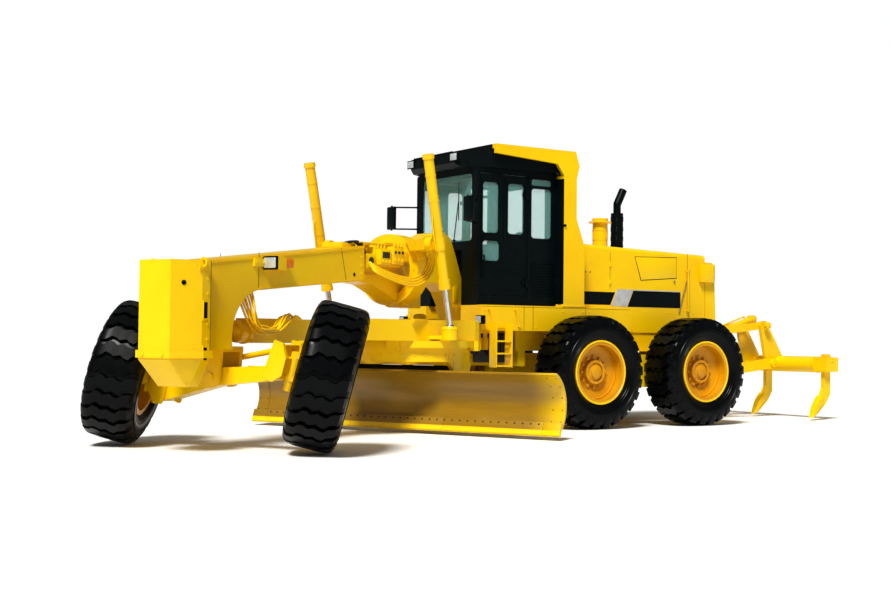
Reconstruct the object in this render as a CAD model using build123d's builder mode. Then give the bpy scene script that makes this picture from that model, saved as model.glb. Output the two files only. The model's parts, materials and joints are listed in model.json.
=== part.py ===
"""Articulated six-wheel motor grader: gooseneck front frame with leaning front wheels, drawbar, circle
and blade, and a rear frame with cab, engine hood, tandem drive and ripper.

Units are millimetres and degrees. Each sub-assembly is drawn in its own straight-ahead frame, with X
forward, Y to the left and Z up, its origin on the ground below the articulation pin, and is then stood
in the parked machine: articulated, steered and leaning to the left, blade and ripper just off the ground.
"""
from build123d import *
from math import asin, atan2, cos, degrees, pi, radians, sin, sqrt
import os

os.makedirs("parts", exist_ok=True)

# Where the articulation pin stands over the machine's footprint
PIVOT_X = 54
PIVOT_Y = -1288

# Stance
ARTICULATION = 25
STEER_LEFT = 33.5
STEER_RIGHT = 29.0
LEAN = 17.6

# Running gear
TYRE_R = 800
TYRE_HALF = 302
SHOULDER_HALF = 235
TREAD_ROOT = 752
SHOULDER_R = 738
WALL_R = 640
LUGS = 15
LUG_SHARE = 0.56
RIM_SEAT_R = 415
RIM_HALF = 250
SPINDLE_R = 95
SPINDLE_END = 118
TANDEM_BACK = 2240
TANDEM_PITCH = 2020
REAR_TRACK = 2550
FRONT_AXLE_X = 5330
NOSE_BACK = 600
LEAN_PIN_Y = 830
KINGPIN_OUT = 150
SPINDLE_OUT = 366
SPINDLE_RISE = 110
AXLE_DROP = 80
LEAN_EYE_R = 80
KINGPIN_BOSS_R = 60

# Clearances and shells
RUN = 0.3
GAP = 8
PLATE = 30

# Front frame
BEAM_HALF = 280
SPINE_HALF = 130
LEG_HALF = 165
TROUGH_WALL = 25
RING_X = 1920
RING_Z = 2150
RING_OUT_R = 470
RING_IN_R = 350
RING_LONG = 280
BEAM_END = 3000

# Drawbar, circle and blade
BALL_X = 5100
BALL_Z = 1310
BALL_R = 75
BAR_BOTTOM = 1220
BAR_TOP = 1490
CIRCLE_X = 1600
CIRCLE_R = 930
CIRCLE_IN_R = 760
CIRCLE_THICK = 90
DRUM_R = 858
DRUM_LOW = 950
TIP_X = 1560
TIP_Z = 330
ARM_Y = 800
ARM_THICK = 60
BLADE_LENGTH = 4880
BLADE_R = 410
BLADE_THICK = 28
BLADE_CX = 2102
BLADE_CZ = 430
BLADE_TOP_ANGLE = 110.6
BLADE_LOW_ANGLE = 220.8
EDGE_Z = 50
RAIL_HALF = 1650

# Lift cylinders
LIFT_Y = 930
LIFT_EYE = (2000, 1380)
TRUNNION = (2280, 2450)
ARM_OUT = 850
BARREL_R = 65
ROD_R = 38
BARREL_FROM = 580
BARREL_TO = 2250

# Rear frame, cab and hood
RAIL_IN = 540
RAIL_OUT = 700
RAIL_LOW = 1090
DECK_LOW = 1370
DECK_TOP = 1720
DECK_FRONT = 420
DECK_REAR = -2270
DECK_OUT = 950
CAB_FRONT = 380
CAB_REAR = -1000
CAB_HALF = 780
CAB_WALL = 40
CAB_TOP = 3640
NOTCH_X = 80
NOTCH_HALF = 400
NOTCH_TOP = 2500
DOOR_FRONT = 330
DOOR_REAR = -460
DOOR_LOW = 1860
DOOR_TOP = 3560
LOUVRES = 10
HOOD_FRONT = -1420
HOOD_REAR = -3990
HOOD_HALF = 720
HOOD_FRONT_TOP = 2670
HOOD_REAR_TOP = 2590
HOOD_REAR_LOW = 1600
EXHAUST_X = -2810
EXHAUST_R = 95
CLEANER_X = -2470
CLEANER_R = 115
HITCH_LOW = 870
HITCH_TOP = 1300
HITCH_PLATE = 60
HITCH_R = 150
PIN_R = 60

# Ripper
LINK = 1450
LINK_ANGLE = 6.5
ARM_PIVOT = (-4460, 736)
TOP_PIVOT = (-4320, 1356)
SHANK_BEAM = (-6150, 890)
SHANK_BEAM_R = 130
SHANK_BEAM_HALF = 1120
SHANK_Y = 1250


def side(y):
    """Upright plane along the machine, y to the left; a sketch on it reads forward and up."""
    return Plane.XZ.offset(-y)


def across(x):
    """Upright plane across the machine at x; a sketch on it reads left and up."""
    return Plane.YZ.offset(x)


def level(z):
    """Level plane at height z."""
    return Plane.XY.offset(z)


def block(x, y, z, mode=Mode.ADD):
    """A plate or box given by its two limits on each axis."""
    middle = tuple((a + b) / 2 for a, b in (x, y, z))
    with Locations(middle):
        Box(abs(x[1] - x[0]), abs(y[1] - y[0]), abs(z[1] - z[0]), mode=mode)


def bar(start, end, radius, mode=Mode.ADD):
    """A round bar or bore between two points."""
    run = Vector(*end) - Vector(*start)
    with BuildSketch(Plane(origin=start, z_dir=run)) as section:
        Circle(radius)
    extrude(section.sketch, amount=run.length, mode=mode)


def slab(plane, points, amount, both=False, mode=Mode.ADD):
    """An outline drawn on a plane and given its thickness."""
    with BuildSketch(plane) as outline:
        Polygon(*points, align=None)
    extrude(outline.sketch, amount=amount, both=both, mode=mode)


def cross_pin(x, z, y0, y1, radius, mode=Mode.ADD):
    """A pin or bore along Y."""
    bar((x, y0, z), (x, y1, z), radius, mode)


def link_plate(start, end, half_height, y_out, thickness, bore):
    """A flat link with round eyes, from y_out inboard, bored at both ends."""
    way = 1 if y_out > 0 else -1
    with BuildSketch(side(y_out)) as outline:
        with BuildLine():
            run = Vector(*end) - Vector(*start)
            lift = run.normalized().rotate(Axis.Z, 90) * half_height
            a, b = Vector(*start), Vector(*end)
            Line(a + lift, b + lift)
            ThreePointArc(b + lift, b + run.normalized() * half_height, b - lift)
            Line(b - lift, a - lift)
            ThreePointArc(a - lift, a - run.normalized() * half_height, a + lift)
        make_face()
        with Locations(start, end):
            Circle(bore, mode=Mode.SUBTRACT)
    extrude(outline.sketch, amount=thickness * way)


def save(piece, label, stance):
    """Label a piece, stand it in the machine and write it."""
    placed = piece.part.moved(stance)
    placed.label = label
    export_step(placed, f"parts/{label}.step")


# ---------------------------------------------------------------- stances
def ride_height(steer):
    """How high a leaning, steered wheel's centre stands over the ground, on the corner of a lug."""
    camber = asin(cos(radians(steer)) * sin(radians(LEAN)))
    return TYRE_R * cos(camber) + SHOULDER_HALF * sin(camber)


def lug_turn(way, steer):
    """Turn of a leaning, steered wheel about its axle that sets a lug's corner on the ground."""
    down = degrees(atan2(sin(radians(steer)) * sin(radians(LEAN)), cos(radians(LEAN))))
    share = LUG_SHARE if way > 0 else 1 - LUG_SHARE
    return down + 180 / LUGS * share


def axle_tilt():
    """Roll of the front axle that keeps both leaning wheels on the ground."""
    reach = 2 * KINGPIN_OUT + SPINDLE_OUT * (cos(radians(STEER_LEFT)) + cos(radians(STEER_RIGHT)))
    drop = ride_height(STEER_LEFT) - ride_height(STEER_RIGHT)
    return degrees(asin((drop + reach * sin(radians(LEAN))) / (2 * LEAN_PIN_Y)))


def axle_height():
    """Height of the front axle's centre pin."""
    spread = SPINDLE_OUT * (cos(radians(STEER_LEFT)) - cos(radians(STEER_RIGHT)))
    both = ride_height(STEER_LEFT) + ride_height(STEER_RIGHT) + spread * sin(radians(LEAN))
    return both / 2 + AXLE_DROP * cos(radians(axle_tilt())) - SPINDLE_RISE * cos(radians(LEAN))


REAR = Location((PIVOT_X, PIVOT_Y, 0))
FRONT = REAR * Location((0, 0, 0), (0, 0, ARTICULATION))
AXLE = FRONT * Location((FRONT_AXLE_X, 0, axle_height()), (axle_tilt(), 0, 0))


def yoke_stance(way):
    """Stance of a lean yoke; way is 1 on the left and -1 on the right."""
    return AXLE * Location((0, way * LEAN_PIN_Y, -AXLE_DROP), (-LEAN - axle_tilt(), 0, 0))


def knuckle_stance(way):
    steer = STEER_LEFT if way > 0 else STEER_RIGHT
    return yoke_stance(way) * Location((0, way * KINGPIN_OUT, 0), (0, 0, steer))


def front_wheel_stance(way):
    steer = STEER_LEFT if way > 0 else STEER_RIGHT
    place = Location((0, way * SPINDLE_OUT, SPINDLE_RISE), (0, -lug_turn(way, steer), 0))
    return knuckle_stance(way) * place * Location((0, 0, 0), (0, 0, 90 - 90 * way))


def rear_wheel_stance(way, axle):
    x = -TANDEM_BACK + axle * TANDEM_PITCH / 2
    place = Location((x, way * REAR_TRACK / 2, TYRE_R), (0, -180 / LUGS * LUG_SHARE, 0))
    return REAR * place * Location((0, 0, 0), (0, 0, 90 - 90 * way))


# ---------------------------------------------------------------- wheels
def lug_row(y, turn):
    """Half of the tread, from the middle out to y: a toothed disc, a lug straight down at turn 0."""
    pitch = 360 / LUGS
    half = pitch * LUG_SHARE / 2
    tooth = [(-half, TYRE_R), (half, TYRE_R), (half + 1.5, TREAD_ROOT), (pitch - half - 1.5, TREAD_ROOT)]
    outline = [(k * pitch + turn + a, r) for k in range(LUGS) for a, r in tooth]
    slab(side(0), [(r * sin(radians(a)), -r * cos(radians(a))) for a, r in outline], -y)


def drum(y0, r0, y1, r1, turn, mode=Mode.ADD):
    """A many-sided cone between two upright planes, r0 and r1 to its flats, with a corner straight down."""
    rings = []
    for y, r in ((y0, r0 / cos(pi / LUGS)), (y1, r1 / cos(pi / LUGS))):
        angles = [radians(turn + k * 360 / LUGS) for k in range(LUGS)]
        rings.append([(r * sin(a), y, -r * cos(a)) for a in angles])
    near, far = rings
    sides = [(near[k - 1], near[k], far[k], far[k - 1]) for k in range(LUGS)]
    faces = [Face(Wire.make_polygon(corners)) for corners in (near, far, *sides)]
    add(Solid(Shell(faces)), mode=mode)


def tyre():
    """Wide-base tyre: two staggered rows of lugs, sloping shoulders, dished walls and a flat-sided bore."""
    bead = RIM_HALF - 27
    with BuildPart() as piece:
        for way in (1, -1):
            turn = 90 / LUGS * (1 - way)
            lug_row(way * SHOULDER_HALF, turn)
            drum(way * (SHOULDER_HALF - 10), SHOULDER_R, way * TYRE_HALF, WALL_R, turn)
            drum(way * (TYRE_HALF + 1), WALL_R - 40, way * bead, RIM_SEAT_R + 21, turn, Mode.SUBTRACT)
        drum(-bead - 10, RIM_SEAT_R + RUN, bead + 10, RIM_SEAT_R + RUN, 0, Mode.SUBTRACT)
    return piece


def rim():
    """Drop-centre rim with a dished disc and a closed hub."""
    seat, lip, inner = RIM_SEAT_R, RIM_SEAT_R + 28, RIM_SEAT_R - 28
    bore, hub = SPINDLE_R + RUN, SPINDLE_R + 80
    with BuildPart() as piece:
        with BuildSketch(Plane.XY):
            Polygon(
                (inner, -RIM_HALF), (inner, RIM_HALF), (lip, RIM_HALF), (lip, RIM_HALF - 20),
                (seat, RIM_HALF - 26), (seat, 26 - RIM_HALF), (lip, 20 - RIM_HALF), (lip, -RIM_HALF),
                align=None,
            )
            Polygon((hub, 20), (inner + 1, 70), (inner + 1, 98), (hub, 60), align=None)
            Polygon(
                (bore, -60), (bore, SPINDLE_END), (0, SPINDLE_END), (0, SPINDLE_END + 30),
                (bore, SPINDLE_END + 30), (hub, 80), (hub, -60),
                align=None,
            )
        revolve(axis=Axis.Y)
    return piece


def wheels():
    table = [("rear_left_1", rear_wheel_stance(1, 1)), ("rear_left_2", rear_wheel_stance(1, -1)),
             ("rear_right_1", rear_wheel_stance(-1, 1)), ("rear_right_2", rear_wheel_stance(-1, -1)),
             ("front_left", front_wheel_stance(1)), ("front_right", front_wheel_stance(-1))]
    rubber, steel = tyre(), rim()
    for place, stance in table:
        save(rubber, f"tyre_{place}", stance)
        save(steel, f"rim_{place}", stance)


# ---------------------------------------------------------------- rear frame
def rear_frame():
    """Chassis rails, articulation fork, radiator guard and ripper bracket, welded in one."""
    with BuildPart() as piece:
        for way in (1, -1):
            block((-4000, -350), (way * RAIL_IN, way * RAIL_OUT), (RAIL_LOW, DECK_LOW))
            block((-4000, DECK_REAR), (way * 600, way * HOOD_HALF), (DECK_LOW, HOOD_REAR_LOW))
            slab(side(way * HOOD_HALF), [(-4000, RAIL_LOW), (-4000, 2480), (-4150, 2480), (-4200, 2200),
                                         (-4240, 1250), (-4240, RAIL_LOW)], way * 180)
            slab(side(way * 290), [(-3950, 640), (-3950, DECK_LOW), (-4200, 1440), (-4400, 1440),
                                   (-4400, 1290), (-4250, 1000), (-4540, 820), (-4540, 640)], way * 60)
        block((-350, -500), (-RAIL_OUT, RAIL_OUT), (RAIL_LOW, DECK_LOW))
        block((-4000, -3900), (-RAIL_OUT, RAIL_OUT), (640, DECK_LOW))
        block((-2600, -1900), (-RAIL_IN, RAIL_IN), (RAIL_LOW, 1200))
        for z in (HITCH_LOW, HITCH_TOP):
            with BuildSketch(level(z)):
                Circle(HITCH_R)
                with Locations((-250, 0)):
                    Rectangle(500, 2 * HITCH_R)
            extrude(amount=HITCH_PLATE)
        block((-520, -400), (-RAIL_OUT, RAIL_OUT), (HITCH_LOW, RAIL_LOW))
        bar((0, 0, HITCH_LOW - 20), (0, 0, HITCH_TOP + HITCH_PLATE + 20), PIN_R)
        cross_pin(*ARM_PIVOT, -365, 365, 40)
        cross_pin(*TOP_PIVOT, -290, 290, 30)
    save(piece, "rear_frame", REAR)


def rear_axle():
    """Final-drive housing with the two tandem chain cases and their wheel spindles."""
    reach = REAR_TRACK / 2 + SPINDLE_END - RUN
    with BuildPart() as piece:
        for way in (1, -1):
            with BuildSketch(side(way * (RAIL_OUT + 245))):
                with Locations((-TANDEM_BACK, TYRE_R)):
                    SlotCenterToCenter(TANDEM_PITCH, 480)
                    Circle(285)
            extrude(amount=way * 215)
            for axle in (1, -1):
                x = -TANDEM_BACK + axle * TANDEM_PITCH / 2
                cross_pin(x, TYRE_R, way * (RAIL_OUT + 200), way * reach, SPINDLE_R)
        cross_pin(-TANDEM_BACK, TYRE_R, -RAIL_OUT - 100, RAIL_OUT + 100, 170)
        cross_pin(-TANDEM_BACK, TYRE_R, -180, 180, 280)
        for way in (1, -1):
            block((-2500, -1980), (way * RAIL_IN, way * RAIL_OUT), (TYRE_R, RAIL_LOW))
    save(piece, "rear_axle", REAR)


def side_decks():
    """Walkway boxes either side of the cab, open over the articulation."""
    with BuildPart() as piece:
        for way in (1, -1):
            block((DECK_REAR, DECK_FRONT), (way * 450, way * DECK_OUT), (DECK_LOW, DECK_TOP))
    save(piece, "side_decks", REAR)


def engine():
    with BuildPart() as piece:
        block((-3200, -1800), (-380, 380), (1200, 2350))
    save(piece, "engine_block", REAR)


def hood():
    """Engine hood: a five-sided shell, open below and at the radiator."""
    outer = [(HOOD_FRONT, DECK_TOP), (DECK_REAR, DECK_TOP), (DECK_REAR, HOOD_REAR_LOW),
             (HOOD_REAR, HOOD_REAR_LOW), (HOOD_REAR, HOOD_REAR_TOP), (HOOD_FRONT, HOOD_FRONT_TOP)]
    with BuildPart() as piece:
        slab(side(0), outer, HOOD_HALF, both=True)
        crown = piece.faces().filter_by(Axis.Z, reverse=True).sort_by(Axis.Z)[-1]
        fillet(crown.edges().filter_by(lambda e: abs(e.tangent_at(0.5).X) > 0.9), 60)
        inner = [(HOOD_FRONT - PLATE, 1400), (HOOD_REAR - PLATE, 1400),
                 (HOOD_REAR - PLATE, HOOD_REAR_TOP - PLATE), (HOOD_FRONT - PLATE, HOOD_FRONT_TOP - PLATE)]
        slab(side(0), inner, HOOD_HALF - PLATE, both=True, mode=Mode.SUBTRACT)
        for x, radius in ((EXHAUST_X, EXHAUST_R), (CLEANER_X, CLEANER_R)):
            bar((x, 0, 2500), (x, 0, 2700), radius + RUN, Mode.SUBTRACT)
    save(piece, "hood", REAR)


def rear_grille():
    """Radiator grille: a frame with level bars."""
    low, high = HOOD_REAR_LOW + 20, 2480
    half = HOOD_HALF - PLATE - RUN
    with BuildPart() as piece:
        with BuildSketch(across(HOOD_REAR + 10)):
            with Locations((0, (low + high) / 2)):
                Rectangle(2 * half, high - low)
                Rectangle(2 * half - 160, high - low - 160, mode=Mode.SUBTRACT)
        extrude(amount=40)
        for k in range(11):
            z = low + 110 + k * 62
            block((HOOD_REAR + 15, HOOD_REAR + 40), (-half + 80, half - 80), (z, z + 24))
    save(piece, "rear_grille", REAR)


def stacks():
    x, r = EXHAUST_X, EXHAUST_R
    with BuildPart() as piece:
        bar((x, 0, 2560), (x, 0, 3230), r)
        bar((x, 0, 3220), (x, 0, 3390), r - 37)
        bar((x, 0, 3370), (x - 120, 0, 3600), r - 33)
    save(piece, "exhaust_stack", REAR)
    x, r = CLEANER_X, CLEANER_R
    with BuildPart() as piece:
        bar((x, 0, 2560), (x, 0, 3060), r)
        bar((x, 0, 3060), (x, 0, 3080), r + 60)
        bar((x, 0, 3080), (x, 0, 3130), r + 5)
    save(piece, "air_precleaner", REAR)


# ---------------------------------------------------------------- cab
# columns: window's rear x, front x, low z, high z
DOOR_WINDOWS = [(20, 290, 2730, 3440), (0, 290, 2340, 2620), (-420, -140, 2730, 3440)]
SIDE_WINDOWS = [(-910, -550, 2690, 3400), (-910, -550, 3440, 3530)]
FRONT_WINDOW = (-640, 640, 2620, 3560)
REAR_WINDOW = (-560, 560, 2620, 3480)


def window(low_a, high_a, low_z, high_z, mode=Mode.SUBTRACT):
    """A round-cornered window outline in the current sketch."""
    with Locations(((low_a + high_a) / 2, (low_z + high_z) / 2)):
        RectangleRounded(high_a - low_a, high_z - low_z, min(60, (high_z - low_z) / 2.5), mode=mode)


def door_hinge(way, z, on_door):
    """One half of a door hinge: the wall's pin and knuckles, or the door's sleeve."""
    y = way * (CAB_HALF + 26)
    if on_door:
        bar((DOOR_REAR, y, z - 30 + RUN), (DOOR_REAR, y, z + 30 - RUN), 22)
        block((DOOR_REAR + 7, DOOR_REAR + 70), (way * (CAB_HALF - 2), y - way * 8), (z - 28, z + 28))
        bar((DOOR_REAR, y, z - 40), (DOOR_REAR, y, z + 40), 12 + RUN, Mode.SUBTRACT)
    else:
        bar((DOOR_REAR, y, z - 60), (DOOR_REAR, y, z + 60), 12)
        for low in (z - 60, z + 30):
            bar((DOOR_REAR, y, low), (DOOR_REAR, y, low + 30), 22)
            block((DOOR_REAR - 70, DOOR_REAR), (way * CAB_HALF, y - way * 8), (low, low + 30))


def cab():
    low, inside = DECK_TOP + CAB_WALL, CAB_HALF - CAB_WALL
    with BuildPart() as piece:
        with BuildSketch(level(DECK_TOP)):
            Polygon((CAB_REAR, -CAB_HALF), (CAB_FRONT, -CAB_HALF), (CAB_FRONT, -NOTCH_HALF),
                    (NOTCH_X, -NOTCH_HALF), (NOTCH_X, NOTCH_HALF), (CAB_FRONT, NOTCH_HALF),
                    (CAB_FRONT, CAB_HALF), (CAB_REAR, CAB_HALF), align=None)
        extrude(amount=CAB_WALL)
    save(piece, "cab_floor", REAR)

    with BuildPart() as piece:
        for way in (1, -1):
            with BuildSketch(side(way * CAB_HALF)) as wall:
                Polygon((CAB_REAR, low), (CAB_FRONT, low), (CAB_FRONT, CAB_TOP), (CAB_REAR, CAB_TOP),
                        align=None)
                with Locations(((DOOR_REAR + DOOR_FRONT) / 2, (DOOR_LOW + DOOR_TOP) / 2)):
                    Rectangle(DOOR_FRONT - DOOR_REAR, DOOR_TOP - DOOR_LOW, mode=Mode.SUBTRACT)
                for pane in SIDE_WINDOWS:
                    window(*pane)
            extrude(wall.sketch, amount=way * CAB_WALL)
            for z in (2050, 3300):
                door_hinge(way, z, False)
            block((CAB_REAR - 9.7, CAB_REAR), (way * inside, way * 948), (low, 3555))
            for k in range(LOUVRES):
                z = 1925 + k * 40
                block((CAB_REAR + 30, DOOR_REAR - 110), (way * CAB_HALF, way * (CAB_HALF + 14)), (z, z + 20))
    save(piece, "cab_sides", REAR)

    with BuildPart() as piece:
        wall = CAB_WALL
        with BuildSketch(level(low)) as folded:
            Polygon((CAB_FRONT, -inside), (CAB_FRONT, -NOTCH_HALF), (NOTCH_X, -NOTCH_HALF),
                    (NOTCH_X, NOTCH_HALF), (CAB_FRONT, NOTCH_HALF), (CAB_FRONT, inside),
                    (CAB_FRONT - wall, inside), (CAB_FRONT - wall, NOTCH_HALF + wall),
                    (NOTCH_X - wall, NOTCH_HALF + wall), (NOTCH_X - wall, -NOTCH_HALF - wall),
                    (CAB_FRONT - wall, -NOTCH_HALF - wall), (CAB_FRONT - wall, -inside), align=None)
        extrude(folded.sketch, amount=NOTCH_TOP - low)
        block((NOTCH_X - wall, CAB_FRONT), (-NOTCH_HALF - wall, NOTCH_HALF + wall),
              (NOTCH_TOP, NOTCH_TOP + wall))
        with BuildSketch(across(CAB_FRONT)) as upper:
            Polygon((-inside, NOTCH_TOP), (inside, NOTCH_TOP), (inside, CAB_TOP), (-inside, CAB_TOP),
                    align=None)
            window(*FRONT_WINDOW)
        extrude(upper.sketch, amount=-wall)
    save(piece, "cab_front", REAR)

    with BuildPart() as piece:
        with BuildSketch(across(CAB_REAR)):
            Polygon((-inside, low), (inside, low), (inside, CAB_TOP), (-inside, CAB_TOP), align=None)
            window(*REAR_WINDOW)
        extrude(amount=CAB_WALL)
    save(piece, "cab_rear", REAR)

    with BuildPart() as piece:
        slab(side(0), [(CAB_REAR, CAB_TOP), (560, CAB_TOP), (640, 3700), (620, 3850), (560, 3860),
                       (380, 3780), (230, 3800), (215, 3955), (190, 3955), (190, 3890), (CAB_REAR, 3890)],
             860, both=True)
        for way in (1, -1):
            slab(level(CAB_TOP), [(190, way * 861), (700, way * 520), (700, way * 861)], 300,
                 mode=Mode.SUBTRACT)
    save(piece, "cab_roof", REAR)

    for way, place in ((1, "left"), (-1, "right")):
        with BuildPart() as piece:
            with BuildSketch(side(way * (CAB_HALF - 2))) as leaf:
                with Locations(((DOOR_REAR + DOOR_FRONT) / 2, (DOOR_LOW + DOOR_TOP) / 2)):
                    Rectangle(DOOR_FRONT - DOOR_REAR - 12, DOOR_TOP - DOOR_LOW - 12)
                for pane in DOOR_WINDOWS:
                    window(*pane)
            extrude(leaf.sketch, amount=way * 36)
            for z in (2050, 3300):
                door_hinge(way, z, True)
            block((250, 290), (way * (CAB_HALF - 2), way * (CAB_HALF + 30)), (2640, 2690))
        save(piece, f"door_{place}", REAR)
        with BuildPart() as piece:
            with BuildSketch(side(way * (CAB_HALF - 14))) as panes:
                for pane in DOOR_WINDOWS:
                    window(*pane, mode=Mode.ADD)
            extrude(panes.sketch, amount=way * 10)
        save(piece, f"door_glass_{place}", REAR)

    with BuildPart() as piece:
        for way in (1, -1):
            with BuildSketch(side(way * (CAB_HALF - 14))) as panes:
                for pane in SIDE_WINDOWS:
                    window(*pane, mode=Mode.ADD)
            extrude(panes.sketch, amount=way * 10)
        for x, pane in ((CAB_FRONT - 14, FRONT_WINDOW), (CAB_REAR + 24, REAR_WINDOW)):
            with BuildSketch(across(x)) as sheet:
                window(*pane, mode=Mode.ADD)
            extrude(sheet.sketch, amount=-10)
    save(piece, "cab_glass", REAR)


def canopy():
    """Roll-over structure: two rear posts that carry a skirted roof over the cab."""
    with BuildPart() as piece:
        slab(side(0), [(190, 3960), (190, 3830), (-890, 3760), (-1010, 3600), (-1010, 3560),
                       (-1240, 3560), (-1290, 3750), (-1220, 3960)], 950, both=True)
        slab(side(0), [(250, 3400), (250, 3900), (-1200, 3900), (-1200, 3400)], 900, both=True,
             mode=Mode.SUBTRACT)
        for way in (1, -1):
            slab(side(way * 950), [(-1010, DECK_TOP), (-1010, 3600), (-1240, 3600), (-1240, 2990),
                                   (-1390, 2600), (-1390, DECK_TOP)], way * 160)
    save(piece, "rops_canopy", REAR)


def cab_inside():
    """Seat on its pedestal and the steering console behind the windscreen."""
    with BuildPart() as piece:
        bar((-560, 0, 1760), (-560, 0, 1990), 110)
        block((-800, -330), (-230, 230), (1990, 2060))
    save(piece, "seat_base", REAR)
    with BuildPart() as piece:
        block((-800, -300), (-250, 250), (2060 + RUN, 2180))
        slab(side(0), [(-800, 2180), (-690, 2180), (-760, 2850), (-860, 2850)], 230, both=True)
    save(piece, "seat", REAR)
    with BuildPart() as piece:
        slab(side(0), [(30, 1760), (30, 2300), (-60, 2560), (-110, 2540), (-70, 2300), (-90, 1760)], 90,
             both=True)
        with BuildSketch(Plane(origin=(-88, 0, 2530), z_dir=(-0.42, 0, 0.91))):
            Circle(190)
            Circle(165, mode=Mode.SUBTRACT)
            Rectangle(30, 340)
            Rectangle(340, 30)
        extrude(amount=24)
    save(piece, "steering_console", REAR)


def ladders():
    """Entry ladders with steps, and the handholds on the deck's side."""
    with BuildPart() as piece:
        for way in (1, -1):
            inner, outer = way * DECK_OUT, way * (DECK_OUT + 170)
            for x in (0, 250):
                slab(side(outer), [(x, 860), (x + 30, 860), (x + 30, 1480), (x, 1480)], way * 170)
            for z in (870, 1040, 1210):
                block((0, 280), (inner, outer), (z, z + 25))
    save(piece, "ladders", REAR)


def mirrors():
    with BuildPart() as piece:
        for way, y in ((1, 1040), (-1, 950)):
            for z in (2860, 3180):
                bar((CAB_FRONT, way * 760, z), (CAB_FRONT + 50, way * 760, z), 12)
                bar((CAB_FRONT + 45, way * 760, z), (720, way * y, z), 10)
            bar((720, way * y, 2840), (720, way * y, 3200), 12)
            block((700, 725), (way * (y - 80), way * (y + 110)), (2860, 3180))
    save(piece, "mirrors", REAR)


# ---------------------------------------------------------------- front frame
def nose():
    """Push block at the front: a bevelled box with a lip and a bow-shaped underside."""
    axle = FRONT_AXLE_X
    back, bevel, front = axle + NOSE_BACK, axle + 730, axle + 1070
    with BuildPart() as piece:
        slab(level(1000), [(front, 220), (front, -220), (bevel, -355), (back, -355), (back, 355),
                           (bevel, 355)], 1050)
        slab(level(1020), [(front + 20, 240), (front + 20, -240), (bevel + 10, -395), (back, -395),
                           (back, 395), (bevel + 10, 395)], 80)
        slab(side(0), [(front, 1000), (axle + 760, 720), (axle + 630, 720), (back, 1000)], 215, both=True)
    save(piece, "nose_block", FRONT)


def front_beam():
    """Gooseneck beam: box beam that drops in an arch to the front axle's bracket."""
    axle = FRONT_AXLE_X
    back = axle + NOSE_BACK
    with BuildPart() as piece:
        with BuildSketch(side(0)) as profile:
            with BuildLine():
                Polyline((axle + 140, 1110), (back, 1110), (back, 2060), (BEAM_END, 2400),
                         (BEAM_END, 1965), (axle - 270, 1770))
                ThreePointArc((axle - 270, 1770), (axle + 40, 1580), (axle + 140, 1110))
            make_face()
        extrude(profile.sketch, amount=BEAM_HALF, both=True)
        pin_z = axle_height()
        for x0, x1 in ((axle - 190, axle - 140), (axle + 140, axle + 190)):
            with BuildSketch(across(x0)) as fork:
                Polygon((-150, 1110), (150, 1110), (120, pin_z), (-120, pin_z), align=None)
                with Locations((0, pin_z)):
                    Circle(120)
            extrude(fork.sketch, amount=x1 - x0)
        block((axle - 190, axle + 190), (-150, 150), (1080, 1140))
        bar((axle - 210, 0, pin_z), (axle + 210, 0, pin_z), 50)
        bar((BALL_X, 0, BALL_Z), (axle + 150, 0, BALL_Z), 45)
        with Locations((BALL_X, 0, BALL_Z)):
            Sphere(BALL_R)
    save(piece, "front_beam", FRONT)


def ring_frame():
    """Rear of the front frame: spine through the lifter ring, trough below it and the hitch leg."""
    leg = [(160, 930), (470, 930), (470, 1490)]
    heel = [(60, 1480), (60, 1420), (160, 1400)]
    with BuildPart() as piece:
        slab(side(0), [(BEAM_END, 2370), (1900, 2450), (1150, 2690), (880, 2720), (700, 2650),
                       (560, 2420), *heel, *leg, (800, 1900), (1000, 2010), (BEAM_END, 2010)],
             SPINE_HALF, both=True)
        slab(side(0), [*heel, *leg, (640, 1700), (178, 1700)], LEG_HALF, both=True)
        with BuildSketch(level(HITCH_LOW + HITCH_PLATE + RUN)) as lug:
            Circle(HITCH_R - 20)
            with Locations((120, 0)):
                Rectangle(240, 2 * LEG_HALF)
            Circle(PIN_R + RUN, mode=Mode.SUBTRACT)
        extrude(lug.sketch, amount=HITCH_TOP - HITCH_LOW - HITCH_PLATE - 2 * RUN)
        trough = [(BEAM_END, 1960), (2630, 1930), (1820, 1660), (1500, 1655), (1500, 2060), (BEAM_END, 2060)]
        hollow = [(BEAM_END - 40, 2000), (2610, 1970), (1810, 1700), (1540, 1695), (1540, 2009),
                  (BEAM_END - 40, 2009)]
        for way in (1, -1):
            slab(side(way * SPINE_HALF), trough, -way * TROUGH_WALL)
        slab(side(0), [*trough[:4], *hollow[3::-1]], SPINE_HALF, both=True)
        with BuildSketch(across(RING_X - RING_LONG / 2)) as ring:
            with Locations((0, RING_Z)):
                Circle(RING_OUT_R)
                Circle(RING_IN_R, mode=Mode.SUBTRACT)
        extrude(ring.sketch, amount=RING_LONG)
        block((RING_X - 100, RING_X + 100), (-SPINE_HALF, SPINE_HALF), (2440, 2520))
    save(piece, "ring_frame", FRONT)


def valve_block():
    """Hydraulic valve bank on the spine's left side, ahead of the ring."""
    front, rear, low = 2720, RING_X + RING_LONG / 2 + 90, 2200
    with BuildPart() as piece:
        block((rear, front), (SPINE_HALF, 300), (low, 2380))
        for k in range(7):
            x = rear + 30 + k * 76
            block((x, x + 58), (SPINE_HALF, 350), (low + 20, 2440))
            bar((x + 29, 325, 2400), (x + 29, 325, 2480), 22)
    save(piece, "valve_block", FRONT)


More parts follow.
